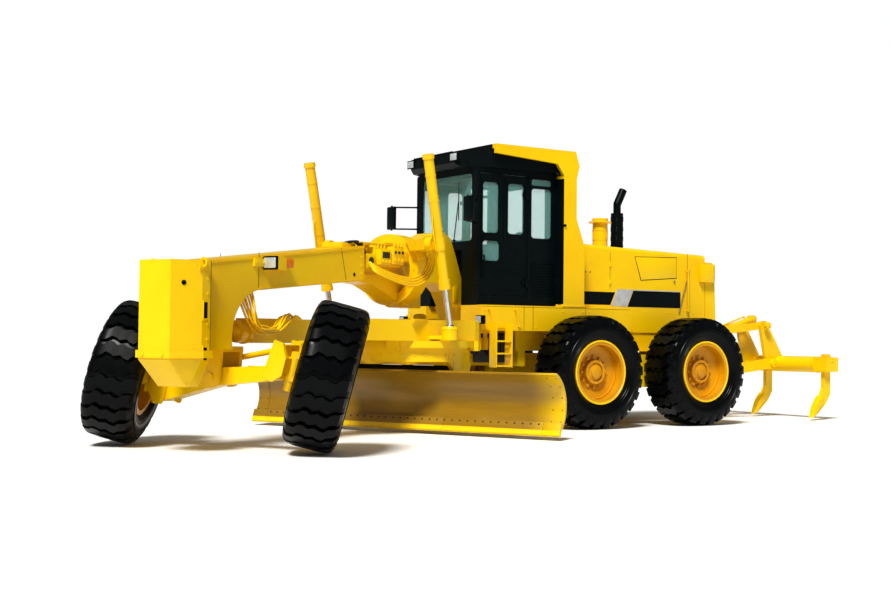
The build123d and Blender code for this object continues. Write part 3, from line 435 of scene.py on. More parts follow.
def tyre(place, spin, way):
    form = Form(wheel_stance(spin, way))
    whole = CARCASS + [(r, -y) for r, y in CARCASS[-2::-1]]
    form.lathe(MIDDLE, LEFT, whole + [(BEAD, -0.2), (BEAD, 0.2)], sides=96)
    pitch = 360 / LUG_COUNT
    columns = [(-y, 2 * LUG_LINE[0][1] - shift, *rest) for y, shift, *rest in LUG_LINE[:0:-1]] + LUG_LINE
    for k in range(LUG_COUNT):
        rings = []
        for y, shift, share, top, base in columns:
            half, start = pitch * share / 2, k * pitch + shift
            corners = ((-half - LUG_BASE, base), (-half + LUG_TOP, top), (half - LUG_TOP, top),
                       (half + LUG_BASE, base))
            rings.append([form.mesh.verts.new((r * sin(radians(start + a)), y, -r * cos(radians(start + a))))
                          for a, r in corners])
        form.mesh.faces.new(rings[0][::-1])
        form.mesh.faces.new(rings[-1])
        for one, other in zip(rings, rings[1:]):
            for j in range(4):
                form.mesh.faces.new((other[j - 1], other[j], one[j], one[j - 1]))
    for r, y in ((0.50, 0.2805), (0.53, 0.292), (0.62, 0.3015)):
        for side in (1, -1):
            form.lathe((0, side * y, 0), LEFT, [(r, -0.004), (r + 0.006, 0.003), (r + 0.012, -0.004)], 96)
    form.done("tread_" + place, RUBBER, "wheel_" + place, "tyre", replaces=("tyre_" + place,), angle=28)


def rim_detail(place, spin, way):
    form, lip = Form(wheel_stance(spin, way)), Form(wheel_stance(spin, way))
    for a in turns(12):
        x, z = 0.215 * cos(a), 0.215 * sin(a)
        form.nuts([(x, 0.072, z)], LEFT, 0.021, 0.03)
        form.rod((x, 0.06, z), (x, 0.079, z), 0.03, sides=14)
    hub = [(0.13, 0.145), (0.165, 0.145), (0.172, 0.138), (0.172, 0.07), (0.13, 0.07)]
    form.lathe(MIDDLE, LEFT, hub, sides=36)
    form.nuts([(0.15 * cos(a), 0.144, 0.15 * sin(a)) for a in turns(10)], LEFT, 0.010, 0.009)
    cap = [(0.09, 0.146), (0.09, 0.162), (0.075, 0.170), (THIN, 0.170), (THIN, 0.146)]
    form.lathe(MIDDLE, LEFT, cap, sides=30)
    form.lathe(MIDDLE, LEFT, [(0.386, 0.094), (0.386, 0.122), (0.372, 0.126), (0.366, 0.094)], sides=60)
    form.lathe(MIDDLE, LEFT, [(0.443, 0.249), (0.436, 0.256), (0.420, 0.256), (0.413, 0.249)], sides=72)
    form.rod((0.36, 0.10, 0), (0.395, 0.17, 0), 0.009, sides=10)
    form.done("wheel_bolts_" + place, RIM_SHADED_YELLOW, "wheel_" + place, "rim_yellow")
    # the lip keeps the machine yellow; the rest of the rim has the darker painted-shade copy
    lip.lathe(MIDDLE, LEFT, [(0.4525, 0.238), (0.4525, 0.257), (0.446, 0.2625), (0.430, 0.2625),
                             (0.4245, 0.257), (0.4245, 0.238)], sides=80)
    lip.lathe(MIDDLE, LEFT, [(0.399, 0.200), (0.399, 0.212), (0.392, 0.216), (0.388, 0.200)], sides=80)
    lip.done("rim_lip_" + place, YELLOW, "wheel_" + place, "rim_yellow")


for spin in JOINTS:
    if spin.startswith("spin_"):
        place, way = spin[5:], -1 if "right" in spin else 1
        tyre(place, spin, way)
        rim_detail(place, spin, way)


# ---------------------------------------------------------------- front frame
def nose_detail():
    dark, plates = Form(FRONT), Form(FRONT)
    for way in (1, -1):
        side = span(way, 0.3535, 0.3575)
        for low, high in ((1.44, 1.61), (1.00, 1.13)):
            # black sheets in the slots: painted shade inside the openings
            dark.box((5.978, 6.038), side, (low, high), soft=0.001)
            plates.box((6.038, 6.052), span(way, 0.350, 0.366), (low - 0.02, high + 0.02), 0.003)
            plates.box((5.978, 6.052), span(way, 0.350, 0.362), (low - 0.022, low), 0.003)
        dark.rod((6.258, way * 0.272, 1.81), (6.2625, way * 0.2825, 1.81), 0.026, sides=20)
        dark.box((5.926, 5.931), side, (1.10, 2.05), soft=0.0008)
        plates.ring((6.05, way * 0.362, 2.03), AHEAD, 0.030, 0.055, 0.012, 24)
        plates.box((5.98, 6.12), span(way, 0.352, 0.366), (1.955, 1.995), 0.004)
        plates.rod((6.40, way * 0.14, 1.06), (6.432, way * 0.14, 1.06), 0.022, sides=18)
        for z in (1.22, 1.38, 1.70, 1.86):
            plates.nuts([(5.975, way * 0.355, z), (5.885, way * 0.28, z)], (0, way, 0), 0.013, 0.010)
    plates.box((5.90, 6.04), (-0.205, 0.205), (0.80, 1.005), 0.004)
    dark.done("nose_slot_shade_and_seam", BLACK, "front")
    plates.done("nose_fittings", YELLOW, "front")


def beam_detail():
    plates, dark = Form(FRONT), Form(FRONT)
    for way in (1, -1):
        seam = span(way, 0.2795, 0.2815)
        plates.box((4.965, 5.155), span(way, 0.278, 0.312), (2.035, 2.125), 0.006)
        plates.nuts([(5.0, way * 0.312, 2.08), (5.12, way * 0.312, 2.08)], (0, way, 0), 0.012, 0.008)
        dark.prism([(5.046, 1.80), (5.052, 1.80), (5.052, 2.195), (5.046, 2.195)], *seam)
        dark.prism([(3.375, 1.945), (3.382, 1.945), (3.494, 2.345), (3.487, 2.345)], *seam)
        dark.rod((3.21, way * 0.278, 2.03), (3.21, way * 0.2815, 2.03), 0.024, sides=20)
        # welded flange strips along the top and the belly of the side plate
        plates.prism([(5.90, 2.045), (5.90, 2.030), (3.01, 2.368), (3.01, 2.383)], *span(way, 0.279, 0.290))
        plates.prism([(3.01, 1.975), (3.01, 1.995), (5.03, 1.803), (5.03, 1.783)], *span(way, 0.279, 0.286))
        plates.nuts([(3.06, way * 0.28, z) for z in (2.05, 2.15, 2.25, 2.33)], (0, way, 0), 0.013, 0.01)
        for x in (5.18, 5.44):
            plates.nuts([(x, way * 0.15, 1.10), (x, way * 0.15, 1.12)], (0, way, 0), 0.012, 0.01)
    plates.box((2.985, 3.0), (-0.27, 0.27), (1.98, 2.36), 0.004)
    plates.box((3.02, 3.30), (-0.16, 0.16), (2.365, 2.43), 0.012)
    plates.nuts([(x, y, 2.43) for x in (3.06, 3.26) for y in (-0.12, 0.12)], UP, 0.013, 0.012)
    plates.done("beam_fittings", YELLOW, "front")
    dark.done("beam_seams", BLACK, "front")


def lamp_detail():
    case, glass, amber = Form(FRONT), Form(FRONT), Form(FRONT)
    for way in (1, -1):
        case.box((4.955, 4.985), span(way, 0.285, 0.488), (2.003, 2.157), 0.012)
        glass.box((4.970, 4.992), span(way, 0.302, 0.471), (2.020, 2.140), 0.010)
        amber.box((4.560, 4.695), span(way, 0.279, 0.395), (2.040, 2.145), 0.016)
    case.done("head_lamp_frames", BLACK, "front")
    glass.done("head_lamp_glass", LENS, "front", "tinted_glass")
    amber.done("turn_signals", AMBER, "front", "lamp_housing")


def ring_detail():
    """Bolts and collars of the round housing about the beam, and of the plates beside it."""
    form = Form(FRONT)
    centre, radius = 2.150, 0.412
    for face, way in ((2.06, 1), (1.78, -1)):
        bolts = [(face, radius * cos(a), centre + radius * sin(a)) for a in turns(22)]
        form.nuts([at for at in bolts if 1.72 < at[2] < 2.34], (way, 0, 0), 0.015, 0.012)
        form.ring((face + 0.004 * way, 0, centre), AHEAD, 0.352, 0.372, 0.006, 72)
    for way in (1, -1):
        for x, z in ((1.02, 2.46), (1.22, 2.44)):
            form.rod((x, way * 0.129, z), (x, way * 0.142, z), 0.05, sides=24)
            form.nuts([(x, way * 0.142, z)], (0, way, 0), 0.02, 0.012)
        form.box((0.50, 0.62), span(way, 0.129, 0.137), (1.76, 1.98), 0.003)
        form.nuts([(0.31, way * 0.165, z) for z in (1.02, 1.14, 1.50, 1.62)], (0, way, 0), 0.014, 0.012)
    form.done("ring_bolts", YELLOW, "front")


def valve_detail():
    """Stacked valve sections with spool caps and pipe unions, in place of the plain bank."""
    form, caps = Form(FRONT), Form(FRONT)
    foot = 0.130
    form.box((2.15, 2.74), (foot, 0.255), (2.16, 2.40), 0.008)
    form.box((2.20, 2.44), (foot, 0.345), (2.195, 2.425), 0.012)
    form.box((2.465, 2.70), (foot, 0.325), (2.175, 2.375), 0.012)
    form.box((2.08, 2.19), (foot, 0.335), (2.24, 2.375), 0.010)
    form.box((2.20, 3.05), (0.150, 0.245), (2.437, 2.452), 0.003)
    form.box((2.74, 2.93), (foot, 0.27), (2.12, 2.31), 0.012)
    for k in range(3):
        x = 2.24 + k * 0.08
        form.rod((x, 0.33, 2.425), (x, 0.33, 2.475), 0.022, sides=14, soft=0.003)
        form.rod((x, 0.343, 2.25), (x, 0.362, 2.25), 0.024, sides=6)
        caps.rod((x, 0.343, 2.35), (x, 0.358, 2.35), 0.018, sides=16)
    for k in range(3):
        x = 2.505 + k * 0.075
        form.rod((x, 0.322, 2.22), (x, 0.345, 2.22), 0.021, sides=6)
        form.rod((x, 0.24, 2.375), (x, 0.24, 2.435), 0.018, sides=12)
    caps.box((2.50, 2.66), (0.322, 0.329), (2.265, 2.345), 0.002)
    caps.rod((2.84, 0.268, 2.22), (2.84, 0.285, 2.22), 0.045, sides=20)
    form.done("valve_sections", YELLOW, "front", replaces=("valve_block",))
    caps.done("valve_caps", IRON, "front", "black_paint")


def nose_cone():
    """Hopper-shaped underside of the push block."""
    form = Form(FRONT)
    high = [(6.402, 0.222), (6.402, -0.222), (6.062, -0.357), (5.935, -0.357), (5.935, 0.357), (6.062, 0.357)]
    low = [(6.118, 0.200), (6.118, -0.200), (6.09, -0.222), (5.950, -0.222), (5.950, 0.222), (6.09, 0.222)]
    top = [form.mesh.verts.new((x, y, 1.003)) for x, y in high]
    foot = [form.mesh.verts.new((x, y, 0.712)) for x, y in low]
    form.mesh.faces.new(top)
    form.mesh.faces.new(foot[::-1])
    for k in range(6):
        form.mesh.faces.new((top[k - 1], top[k], foot[k], foot[k - 1]))
    form.soften(top + foot, 0.006)
    form.done("nose_cone", YELLOW, "front")


nose_cone()
nose_detail()
beam_detail()
lamp_detail()
ring_detail()
valve_detail()

# hoses fixed at both ends to the front frame, and a bundle that runs down to the drawbar, fixed in place on no
# body
hoses("ring_hoses",
      [[(2.86, 0.20 + k * 0.03, 2.24 - k * 0.035), (2.90, 0.31 + k * 0.02, 2.18 - k * 0.035),
        (2.76, 0.37 + k * 0.018, 2.11 - k * 0.030), (2.42, 0.43 + k * 0.016, 2.03 - k * 0.030),
        (2.10, 0.455 + k * 0.016, 2.02 - k * 0.035), (1.87 - k * 0.03, 0.47 + k * 0.016, 2.14 - k * 0.02),
        (1.77 - k * 0.025, 0.48 + k * 0.012, 2.36), (1.80, 0.47 + k * 0.03, 2.55),
        (1.86, 0.46 + k * 0.04, 2.60)] for k in range(4)],
      0.0165, YELLOW, "front")
hoses("beam_hoses",
      [[(2.90, 0.16 + k * 0.034, 2.28), (2.99, 0.20 + k * 0.034, 2.40), (3.05, 0.15 + k * 0.03, 2.46),
        (3.14, 0.10 + k * 0.03, 2.44), (3.2, 0.08 + k * 0.03, 2.42)] for k in range(3)],
      0.014, HOSE, "front")
hoses("drawbar_hoses",
      [[(5.26 - k * 0.03, 0.07 + 0.02 * k, 1.80), (5.22 - 0.02 * k, 0.15 + 0.02 * k, 1.66),
        (5.14 - 0.05 * (k % 3), 0.19 + 0.02 * k, 1.44 - 0.02 * k),
        (4.98 - 0.04 * k, 0.20 + 0.02 * k, 1.27 + 0.035 * (k % 4)),
        (4.72 - 0.03 * (k % 3), 0.20 + 0.02 * k, 1.30 + 0.03 * (k % 3)),
        (4.60 - 0.06 * (k % 4), 0.19 + 0.02 * k, 1.45 + 0.03 * (k % 3)),
        (4.46 - 0.07 * (k % 4), 0.17 + 0.01 * k, 1.50 + 0.02 * (k % 2)),
        (4.40 - 0.09 * (k % 4), 0.15 + 0.01 * k, 1.45)] for k in range(7)],
      0.0125, YELLOW, "front", bend=("drawbar", (5.20, 0.18, 1.70), (4.45, 0.18, 1.42)))


# ---------------------------------------------------------------- drawbar, circle and blade
# feet of the lift cylinders on the drawbar, as seen from above
FOOT_X, FOOT_Y = 2.0, 0.93


def drawbar_detail():
    form = Form(FRONT)
    cup = [(0.066, 0.0), (0.112, 0.0), (0.104, 0.022), (0.085, 0.036), (0.066, 0.040)]
    for way in (1, -1):
        form.nuts([(FOOT_X + 0.088 * cos(a), way * FOOT_Y + 0.088 * sin(a), 1.369) for a in turns(8)],
                  UP, 0.011, 0.010)
        form.box((2.10, 2.42), span(way, 0.60, 0.66), (1.489, 1.499), 0.003)
        form.nuts([(x, way * y, 1.49) for x in (1.22, 1.33) for y in (0.78, 0.62)], UP, 0.016, 0.014)
        form.nuts([(x, way * y, 1.46) for x, y in ((3.2, 0.16), (3.5, 0.15), (3.8, 0.13), (4.1, 0.12))],
                  UP, 0.012, 0.01)
    form.ring((4.965, 0, 1.31), AHEAD, 0.125, 0.142, 0.02, 40)
    for way in (1, -1):
        form.lathe((FOOT_X, way * FOOT_Y, 1.368), UP, cup, sides=36)
    form.box((1.18, 1.36), (-0.3, 0.3), (1.489, 1.515), 0.006)
    dome = [(0.02, 0.0), (0.09, 0.0), (0.085, 0.05), (0.05, 0.07), (0.02, 0.07)]
    form.lathe((1.27, 0, 1.514), UP, dome, sides=30)
    form.done("drawbar_fittings", YELLOW, "drawbar")


def blade_detail():
    """Cutting edge, end plates and their bolts, laid on the mouldboard's face."""
    edge, bolts = Form(FRONT), Form(FRONT)
    slope = Vector((0.938, 0, 0.345))
    face, thick, gap = [(1.797, 0.2215), (1.8535, 0.066)], 0.007, 0.0015
    outline = face + [(x + thick * slope.x, z + thick * slope.z) for x, z in reversed(face)]
    joints = (-2.19, -0.73, 0.73, 2.19)
    for low, high in zip(joints, joints[1:]):
        edge.prism(outline, low + gap, high - gap, 0.001)
    count, reach = 38, 2.13
    for k in range(count):
        y = -reach + 2 * reach * k / (count - 1)
        at = Vector((1.8085, y, 0.196)) + slope * 0.0065
        bolts.rod(at, at + slope * 0.005, 0.0125, 0.009, sides=12)
    # the mouldboard's hollow face is an arc about this centre
    centre, radius = Vector((2.102, 0, 0.430)), 0.404
    strip = [radians(112 + 104 * k / 16) for k in range(17)]
    inner, outer = [[(centre.x + r * cos(a), centre.z + r * sin(a)) for a in strip]
                    for r in (radius, radius + 0.010)]
    for way in (1, -1):
        edge.prism(inner + outer[::-1], *span(way, 2.24, 2.438))
        edge.prism(outline, *span(way, 2.1915, 2.438), soft=0.001)
        for k in range(5):
            a = radians(122 + 22 * k)
            for y in (2.27, 2.40):
                at = centre + Vector((radius * cos(a), way * y, radius * sin(a)))
                bolts.rod(at, at - Vector((cos(a), 0, sin(a))) * 0.004, 0.009, 0.007, sides=12)
    edge.done("cutting_edge", BLADE, "blade", "blade_steel")
    bolts.done("edge_bolts", IRON, "blade", "blade_steel")


def circle_detail():
    form = Form(FRONT)
    centre, radius = 1.6, 0.862
    for a in turns(36):
        if abs(sin(a)) < 0.985:  # the blade's arms leave no room at the sides
            form.nuts([(centre + radius * cos(a), radius * sin(a), 1.04)], (cos(a), sin(a), 0), 0.014, 0.010)
    for way in (1, -1):
        form.rod((1.56, way * 0.829, 0.33), (1.56, way * 0.845, 0.33), 0.062, sides=28, soft=0.003)
        form.nuts([(1.56 + 0.04 * cos(a), way * 0.845, 0.33 + 0.04 * sin(a)) for a in turns(5)],
                  (0, way, 0), 0.008, 0.007)
        form.box((1.42, 1.74), span(way, 0.829, 0.834), (0.86, 1.02), 0.002)
    form.done("circle_fittings", YELLOW, "circle")


def circle_tube():
    # a tube across the circle in dark iron, whose darkness is painted shade of the gap it fills
    form = Form(FRONT)
    x, z = 1.62, 0.845
    form.rod((x, -0.76, z), (x, 0.76, z), 0.048, sides=28, soft=0.004)
    for y in (-0.5, 0.0, 0.5):
        form.box((1.585, 1.655), (y - 0.03, y + 0.03), (0.86, 0.952), 0.004)
        form.ring((x, y + 0.09, z), LEFT, 0.046, 0.058, 0.02, 28)
    form.done("circle_cross_tube_shade", IRON, "circle", "black_paint")


drawbar_detail()
blade_detail()
circle_detail()
circle_tube()


# ---------------------------------------------------------------- lift cylinders
def cylinder_detail(place, way):
    """Collars, gland bolts and pipes of one cylinder; s runs along it from its lower eye."""
    eye, top = Vector((FOOT_X, way * FOOT_Y, 1.38)), Vector((2.28, way * FOOT_Y, 2.45))
    run = (top - eye).normalized()
    out = LEFT.cross(run)
    form = Form(FRONT)

    def at(s, side=0.0):
        return eye + run * s + out * side

    for s, radius, tall in ((0.545, 0.079, 0.05), (0.62, 0.073, 0.02), (1.29, 0.070, 0.02),
                            (1.66, 0.070, 0.02), (1.98, 0.070, 0.02), (2.215, 0.077, 0.04)):
        form.ring(at(s), run, 0.064, radius, tall / 2)
    gland = [(0.0395, -0.012), (0.058, -0.012), (0.066, 0.0), (0.066, 0.01), (0.0395, 0.01)]
    form.lathe(at(0.532), run, gland, sides=32)
    form.nuts([at(2.235) + out * 0.05 * cos(a) + LEFT * 0.05 * sin(a) for a in turns(6)], run, 0.010, 0.014)
    form.box((2.245, 2.315), span(way, 0.853, 0.878), (2.38, 2.52), 0.008)
    form.done("lift_barrel_rings_" + place, YELLOW, "lift_barrel_" + place)
    rear = [(0.60, -0.070), (0.62, -0.092), (0.72, -0.094), (1.10, -0.094), (1.60, -0.094), (2.05, -0.094),
            (2.16, -0.090), (2.18, -0.068)]
    front = [(1.02, 0.080), (1.03, 0.10), (1.20, 0.105), (1.45, 0.098), (1.47, 0.07)]
    hoses("lift_barrel_pipe_" + place, [[at(*spot) for spot in route] for route in (rear, front)],
          0.011, YELLOW, "lift_barrel_" + place)


for place, way in SIDES:
    cylinder_detail(place, way)


# ---------------------------------------------------------------- cab
def pillow(form, centre, half, turn=Matrix(), power=4.0, crown=0.0, steps=14):
    """A closed rounded cushion: a box puffed to a superellipsoid, higher in the middle."""
    place = Matrix.Translation(centre) @ turn
    verts = bmesh.ops.create_cube(form.mesh, size=2)["verts"]
    bmesh.ops.subdivide_edges(form.mesh, edges=edges_of(verts), cuts=steps, use_grid_fill=True)
    form.mesh.verts.ensure_lookup_table()
    verts = form.mesh.verts[form.known:]
    form.known = len(form.mesh.verts)
    for vert in verts:
        x, y, z = vert.co
        length = (abs(x) ** power + abs(y) ** power + abs(z) ** power) ** (1 / power)
        x, y, z = x / length, y / length, z / length
        z *= 1 + crown * max(0.0, 1 - x * x) * max(0.0, 1 - y * y)
        vert.co = place @ Vector((x * half[0], y * half[1], z * half[2]))


def seat():
    form = Form()
    lean = Matrix.Rotation(radians(-6), 4, "Y")
    for y in (-0.155, 0.155):
        pillow(form, (-0.55, y, 2.125), (0.245, 0.092, 0.058), power=5, crown=0.12)
    pillow(form, (-0.55, 0, 2.120), (0.245, 0.090, 0.055), power=5, crown=0.16)
    for y in (-0.148, 0.148):
        pillow(form, (-0.785, y, 2.50), (0.050, 0.078, 0.325), lean, power=5)
    pillow(form, (-0.785, 0, 2.49), (0.044, 0.085, 0.315), lean, power=5)
    cushion = form.done("seat_cushions", FABRIC, "rear", "seat_fabric", replaces=("seat",), angle=60)


def frame_of(form, low, high, z0, z1, depth, rim=0.022):
    """A flat rim round an opening from low to high along X and z0 to z1 up."""
    form.box((low - rim, high + rim), depth, (z1, z1 + rim), 0.002)
    form.box((low - rim, high + rim), depth, (z0 - rim, z0), 0.002)
    form.box((low - rim, low), depth, (z0, z1), 0.002)
    form.box((high, high + rim), depth, (z0, z1), 0.002)


def cab_detail():
    black, light, trim = Form(), Form(), Form()
    for way in (1, -1):
        # rubber round the window behind the door and the slot above it
        for z0, z1 in ((2.69, 3.40), (3.44, 3.53)):
            frame_of(trim, -0.91, -0.55, z0, z1, span(way, 0.780, 0.787))
        black.box((0.630, 0.644), span(way, 0.47, 0.655), (3.716, 3.838), 0.010)
    for way in (1, -1):
        light.box((0.640, 0.650), span(way, 0.485, 0.640), (3.730, 3.824), 0.008)
        wall = span(way, 0.778, 0.790)
        black.box((0.345, 0.385), wall, (1.78, 3.62), 0.006)
        black.box((-0.53, -0.49), wall, (1.80, 3.60), 0.006)
        # bolted frame and screws of the louvred side panel
        frame_of(black, -0.99, -0.55, 1.90, 2.335, wall, rim=0.016)
        black.nuts([(x, way * 0.790, z) for x in (-0.975, -0.565) for z in (1.93, 2.12, 2.31)],
                   (0, way, 0), 0.008, 0.006)
        # folding wiper on the windscreen
        trim.rod((0.392, way * 0.22, 2.66), (0.396, way * 0.33, 3.18), 0.007, sides=8)
        trim.box((0.388, 0.396), span(way, 0.325, 0.337), (2.92, 3.46), 0.002)
        trim.rod((0.380, way * 0.22, 2.64), (0.40, way * 0.22, 2.64), 0.018, sides=14)
        # long grab rail beside the door
        trim.rod((0.40, way * 0.80, 2.02), (0.40, way * 0.80, 2.78), 0.013, sides=12)
        for z in (2.04, 2.76):
            trim.rod((0.378, way * 0.772, z), (0.40, way * 0.80, z), 0.011, sides=10)
    black.box((0.60, 0.632), (-0.50, 0.50), (3.845, 3.862), 0.004)
    black.done("cab_trim", BLACK, "rear")
    light.done("roof_lamps", LENS, "rear", "tinted_glass")
    trim.done("cab_seals", BLACK, "rear")


def door_detail(place, way):
    form, grip = Form(), Form()
    depth = span(way, 0.7775, 0.786)
    for low, high, z0, z1 in ((0.02, 0.29, 2.73, 3.44), (0.0, 0.29, 2.34, 2.62), (-0.42, -0.14, 2.73, 3.44)):
        frame_of(form, low, high, z0, z1, depth, rim=0.018)
    form.box((-0.40, 0.27), depth, (2.20, 2.23), 0.003)
    form.box((-0.10, -0.07), depth, (2.64, 3.52), 0.003)
    grip.box((0.17, 0.285), span(way, 0.778, 0.800), (2.645, 2.680), 0.006)
    for z in (2.12, 2.40):
        grip.rod((0.28, way * 0.79, z), (0.28, way * 0.815, z), 0.012, sides=12)
    grip.rod((0.28, way * 0.815, 2.10), (0.28, way * 0.815, 2.42), 0.011, sides=12)
    form.done("door_seals_" + place, BLACK, "door_" + place)
    grip.done("door_handle_" + place, BLACK, "door_" + place)


def cab_inside():
    form, knobs = Form(), Form()
    for y in (-0.42, 0.42):
        form.box((-0.75, -0.25), (y - 0.07, y + 0.07), (1.765, 2.22), 0.03)
    knob = [(THIN, -0.016), (0.014, -0.010), (0.017, 0.0), (0.014, 0.010), (THIN, 0.016)]
    for k in range(4):
        for middle in (-0.16, 0.16):
            x, y = -0.14 + k * 0.035, middle + (k - 1.5) * 0.034
            form.rod((-0.02, middle + (k - 1.5) * 0.022, 2.30), (x, y, 2.58), 0.005, sides=8)
            knobs.lathe((x, y, 2.585), UP, knob, sides=12)
    form.box((-0.06, 0.02), (-0.26, 0.26), (2.22, 2.33), 0.02)
    form.box((-0.94, 0.03), (-0.72, 0.72), (3.565, 3.60), 0.01)
    form.done("cab_consoles", GREY, "rear", "black_paint")
    knobs.done("lever_knobs", HOSE, "rear", "black_paint")


def mirror_detail():
    black, glass = Form(), Form()
    for way, y in ((1, 1.04), (-1, 0.95)):
        low, high = span(way, y - 0.08, y + 0.11)
        black.box((0.690, 0.740), (low - 0.006, high + 0.006), (2.850, 3.190), 0.022)
        glass.box((0.684, 0.692), (low + 0.012, high - 0.012), (2.872, 3.168), 0.003)
        for z in (2.86, 3.18):
            black.rod((0.425, way * 0.76, z), (0.72, way * y, z), 0.0115, sides=12)
            black.rod((0.378, way * 0.76, z), (0.432, way * 0.76, z), 0.0125, sides=12)
        black.rod((0.72, way * y, 2.835), (0.72, way * y, 3.205), 0.0125, sides=12)
    black.done("mirror_cases", BLACK, "rear", replaces=("mirrors",))
    glass.done("mirror_glass", CHROME, "rear", "chromed_rod")


seat()
cab_detail()
for place, way in SIDES:
    door_detail(place, way)
cab_inside()
mirror_detail()


# ---------------------------------------------------------------- hood, decks and rear frame
def hood_detail():
    """Two-tone band low on the sides, panel gaps, side doors, latches, rails and tail boxes."""
    dark, panel, silver, steel = Form(), Form(), Form(), Form()
    for way in (1, -1):
        band, seam = span(way, 0.7195, 0.7225), span(way, 0.7195, 0.7212)
        dark.prism([(-1.56, 1.775), (-2.075, 1.775), (-2.165, 1.965), (-1.56, 1.965)], *band)
        dark.prism([(-2.41, 1.755), (-3.478, 1.755), (-3.478, 1.998), (-2.525, 1.998)], *band)
        silver.prism([(-2.085, 1.755), (-2.40, 1.755), (-2.515, 2.0), (-2.20, 2.0)], *band)
        silver.prism([(-2.20, 2.001), (-3.478, 2.001), (-3.478, 2.014), (-2.206, 2.014)], *band)
        for x in (-1.553, -3.62):
            dark.box((x - 0.003, x + 0.003), seam, (1.70, 2.60), 0.0004)
        dark.box((-2.070, -2.065), seam, (2.01, 2.56), 0.0004)
        dark.prism([(-2.545, 2.515), (-3.397, 2.536), (-3.399, 2.208), (-2.669, 2.155)],
                   *span(way, 0.7195, 0.7210))
        panel.prism([(-2.555, 2.507), (-3.387, 2.526), (-3.389, 2.218), (-2.677, 2.165)],
                    *span(way, 0.7200, 0.7275), soft=0.003)
        steel.box((-3.36, -3.335), span(way, 0.727, 0.738), (2.135, 2.175), 0.003)
        for x in (-1.60, -1.685):
            dark.rod((x, way * 0.719, 2.25), (x, way * 0.7215, 2.25), 0.011, sides=16)
        for z in (2.08, 2.34):
            panel.box((-2.095, -2.040), span(way, 0.719, 0.732), (z, z + 0.07), 0.004)
        panel.nuts([(x, way * 0.719, 1.68) for x in (-1.75, -2.25, -2.75, -3.25, -3.75)],
                   (0, way, 0), 0.010, 0.008)
        # gas strut and handrail at the rear corner, tail lamp box
        steel.rod((-3.655, way * 0.735, 2.34), (-3.44, way * 0.735, 1.68), 0.008, sides=10)
        panel.rod((-3.60, way * 0.765, 2.34), (-3.60, way * 0.765, 1.70), 0.012, sides=12)
        for z in (2.33, 1.72):
            panel.rod((-3.60, way * 0.72, z), (-3.60, way * 0.765, z), 0.010, sides=10)
        panel.box((-4.13, -3.86), span(way, 0.719, 0.80), (2.165, 2.45), 0.012)
        dark.box((-4.137, -4.12), span(way, 0.725, 0.795), (2.18, 2.435), 0.004)
    dark.box((-3.96, -1.44), (-0.003, 0.003), (2.5945, 2.5955), 0.0)
    dark.done("hood_seams", BLACK, "rear")
    panel.done("hood_panels", YELLOW, "rear")
    silver.done("hood_band", SILVER, "rear", "chromed_rod")
    steel.done("hood_latches", STEEL, "rear", "chromed_rod")


def tail_lamps():
    form = Form()
    for way in (1, -1):
        for z in (2.20, 2.32):
            form.box((-4.148, -4.134), span(way, 0.735, 0.785), (z, z + 0.10), 0.005)
    form.done("tail_lamps", RED, "rear", "lamp_housing")


def stack_detail():
    """Perforated guard and clamps on the exhaust; ribbed bowl and screen on the pre-cleaner."""
    holes, bands, bowl = Form(), Form(), Form()
    stack, cleaner = -2.81, -2.47
    for k in range(4):
        a = radians(45 + 90 * k)
        for z in (2.80, 2.95, 3.10):
            at = Vector((stack + 0.0935 * cos(a), 0.0935 * sin(a), z))
            holes.rod(at, at + UP * 0.07, 0.006, sides=6)
    for z in (2.72, 3.165):
        bands.ring((stack, 0, z), UP, 0.094, 0.100, 0.010, 36)
    for a in turns(20):
        at = Vector((cleaner + 0.1165 * cos(a), 0.1165 * sin(a), 2.83))
        bowl.rod(at, at + UP * 0.10, 0.0042, sides=6)
    for z in (2.70, 2.80, 2.945):
        bowl.ring((cleaner, 0, z), UP, 0.114, 0.121, 0.007, 40)
    holes.done("exhaust_holes", HOSE, "rear", "black_paint")
    bands.done("exhaust_bands", BLACK, "rear")
    bowl.done("precleaner_ribs", YELLOW, "rear")


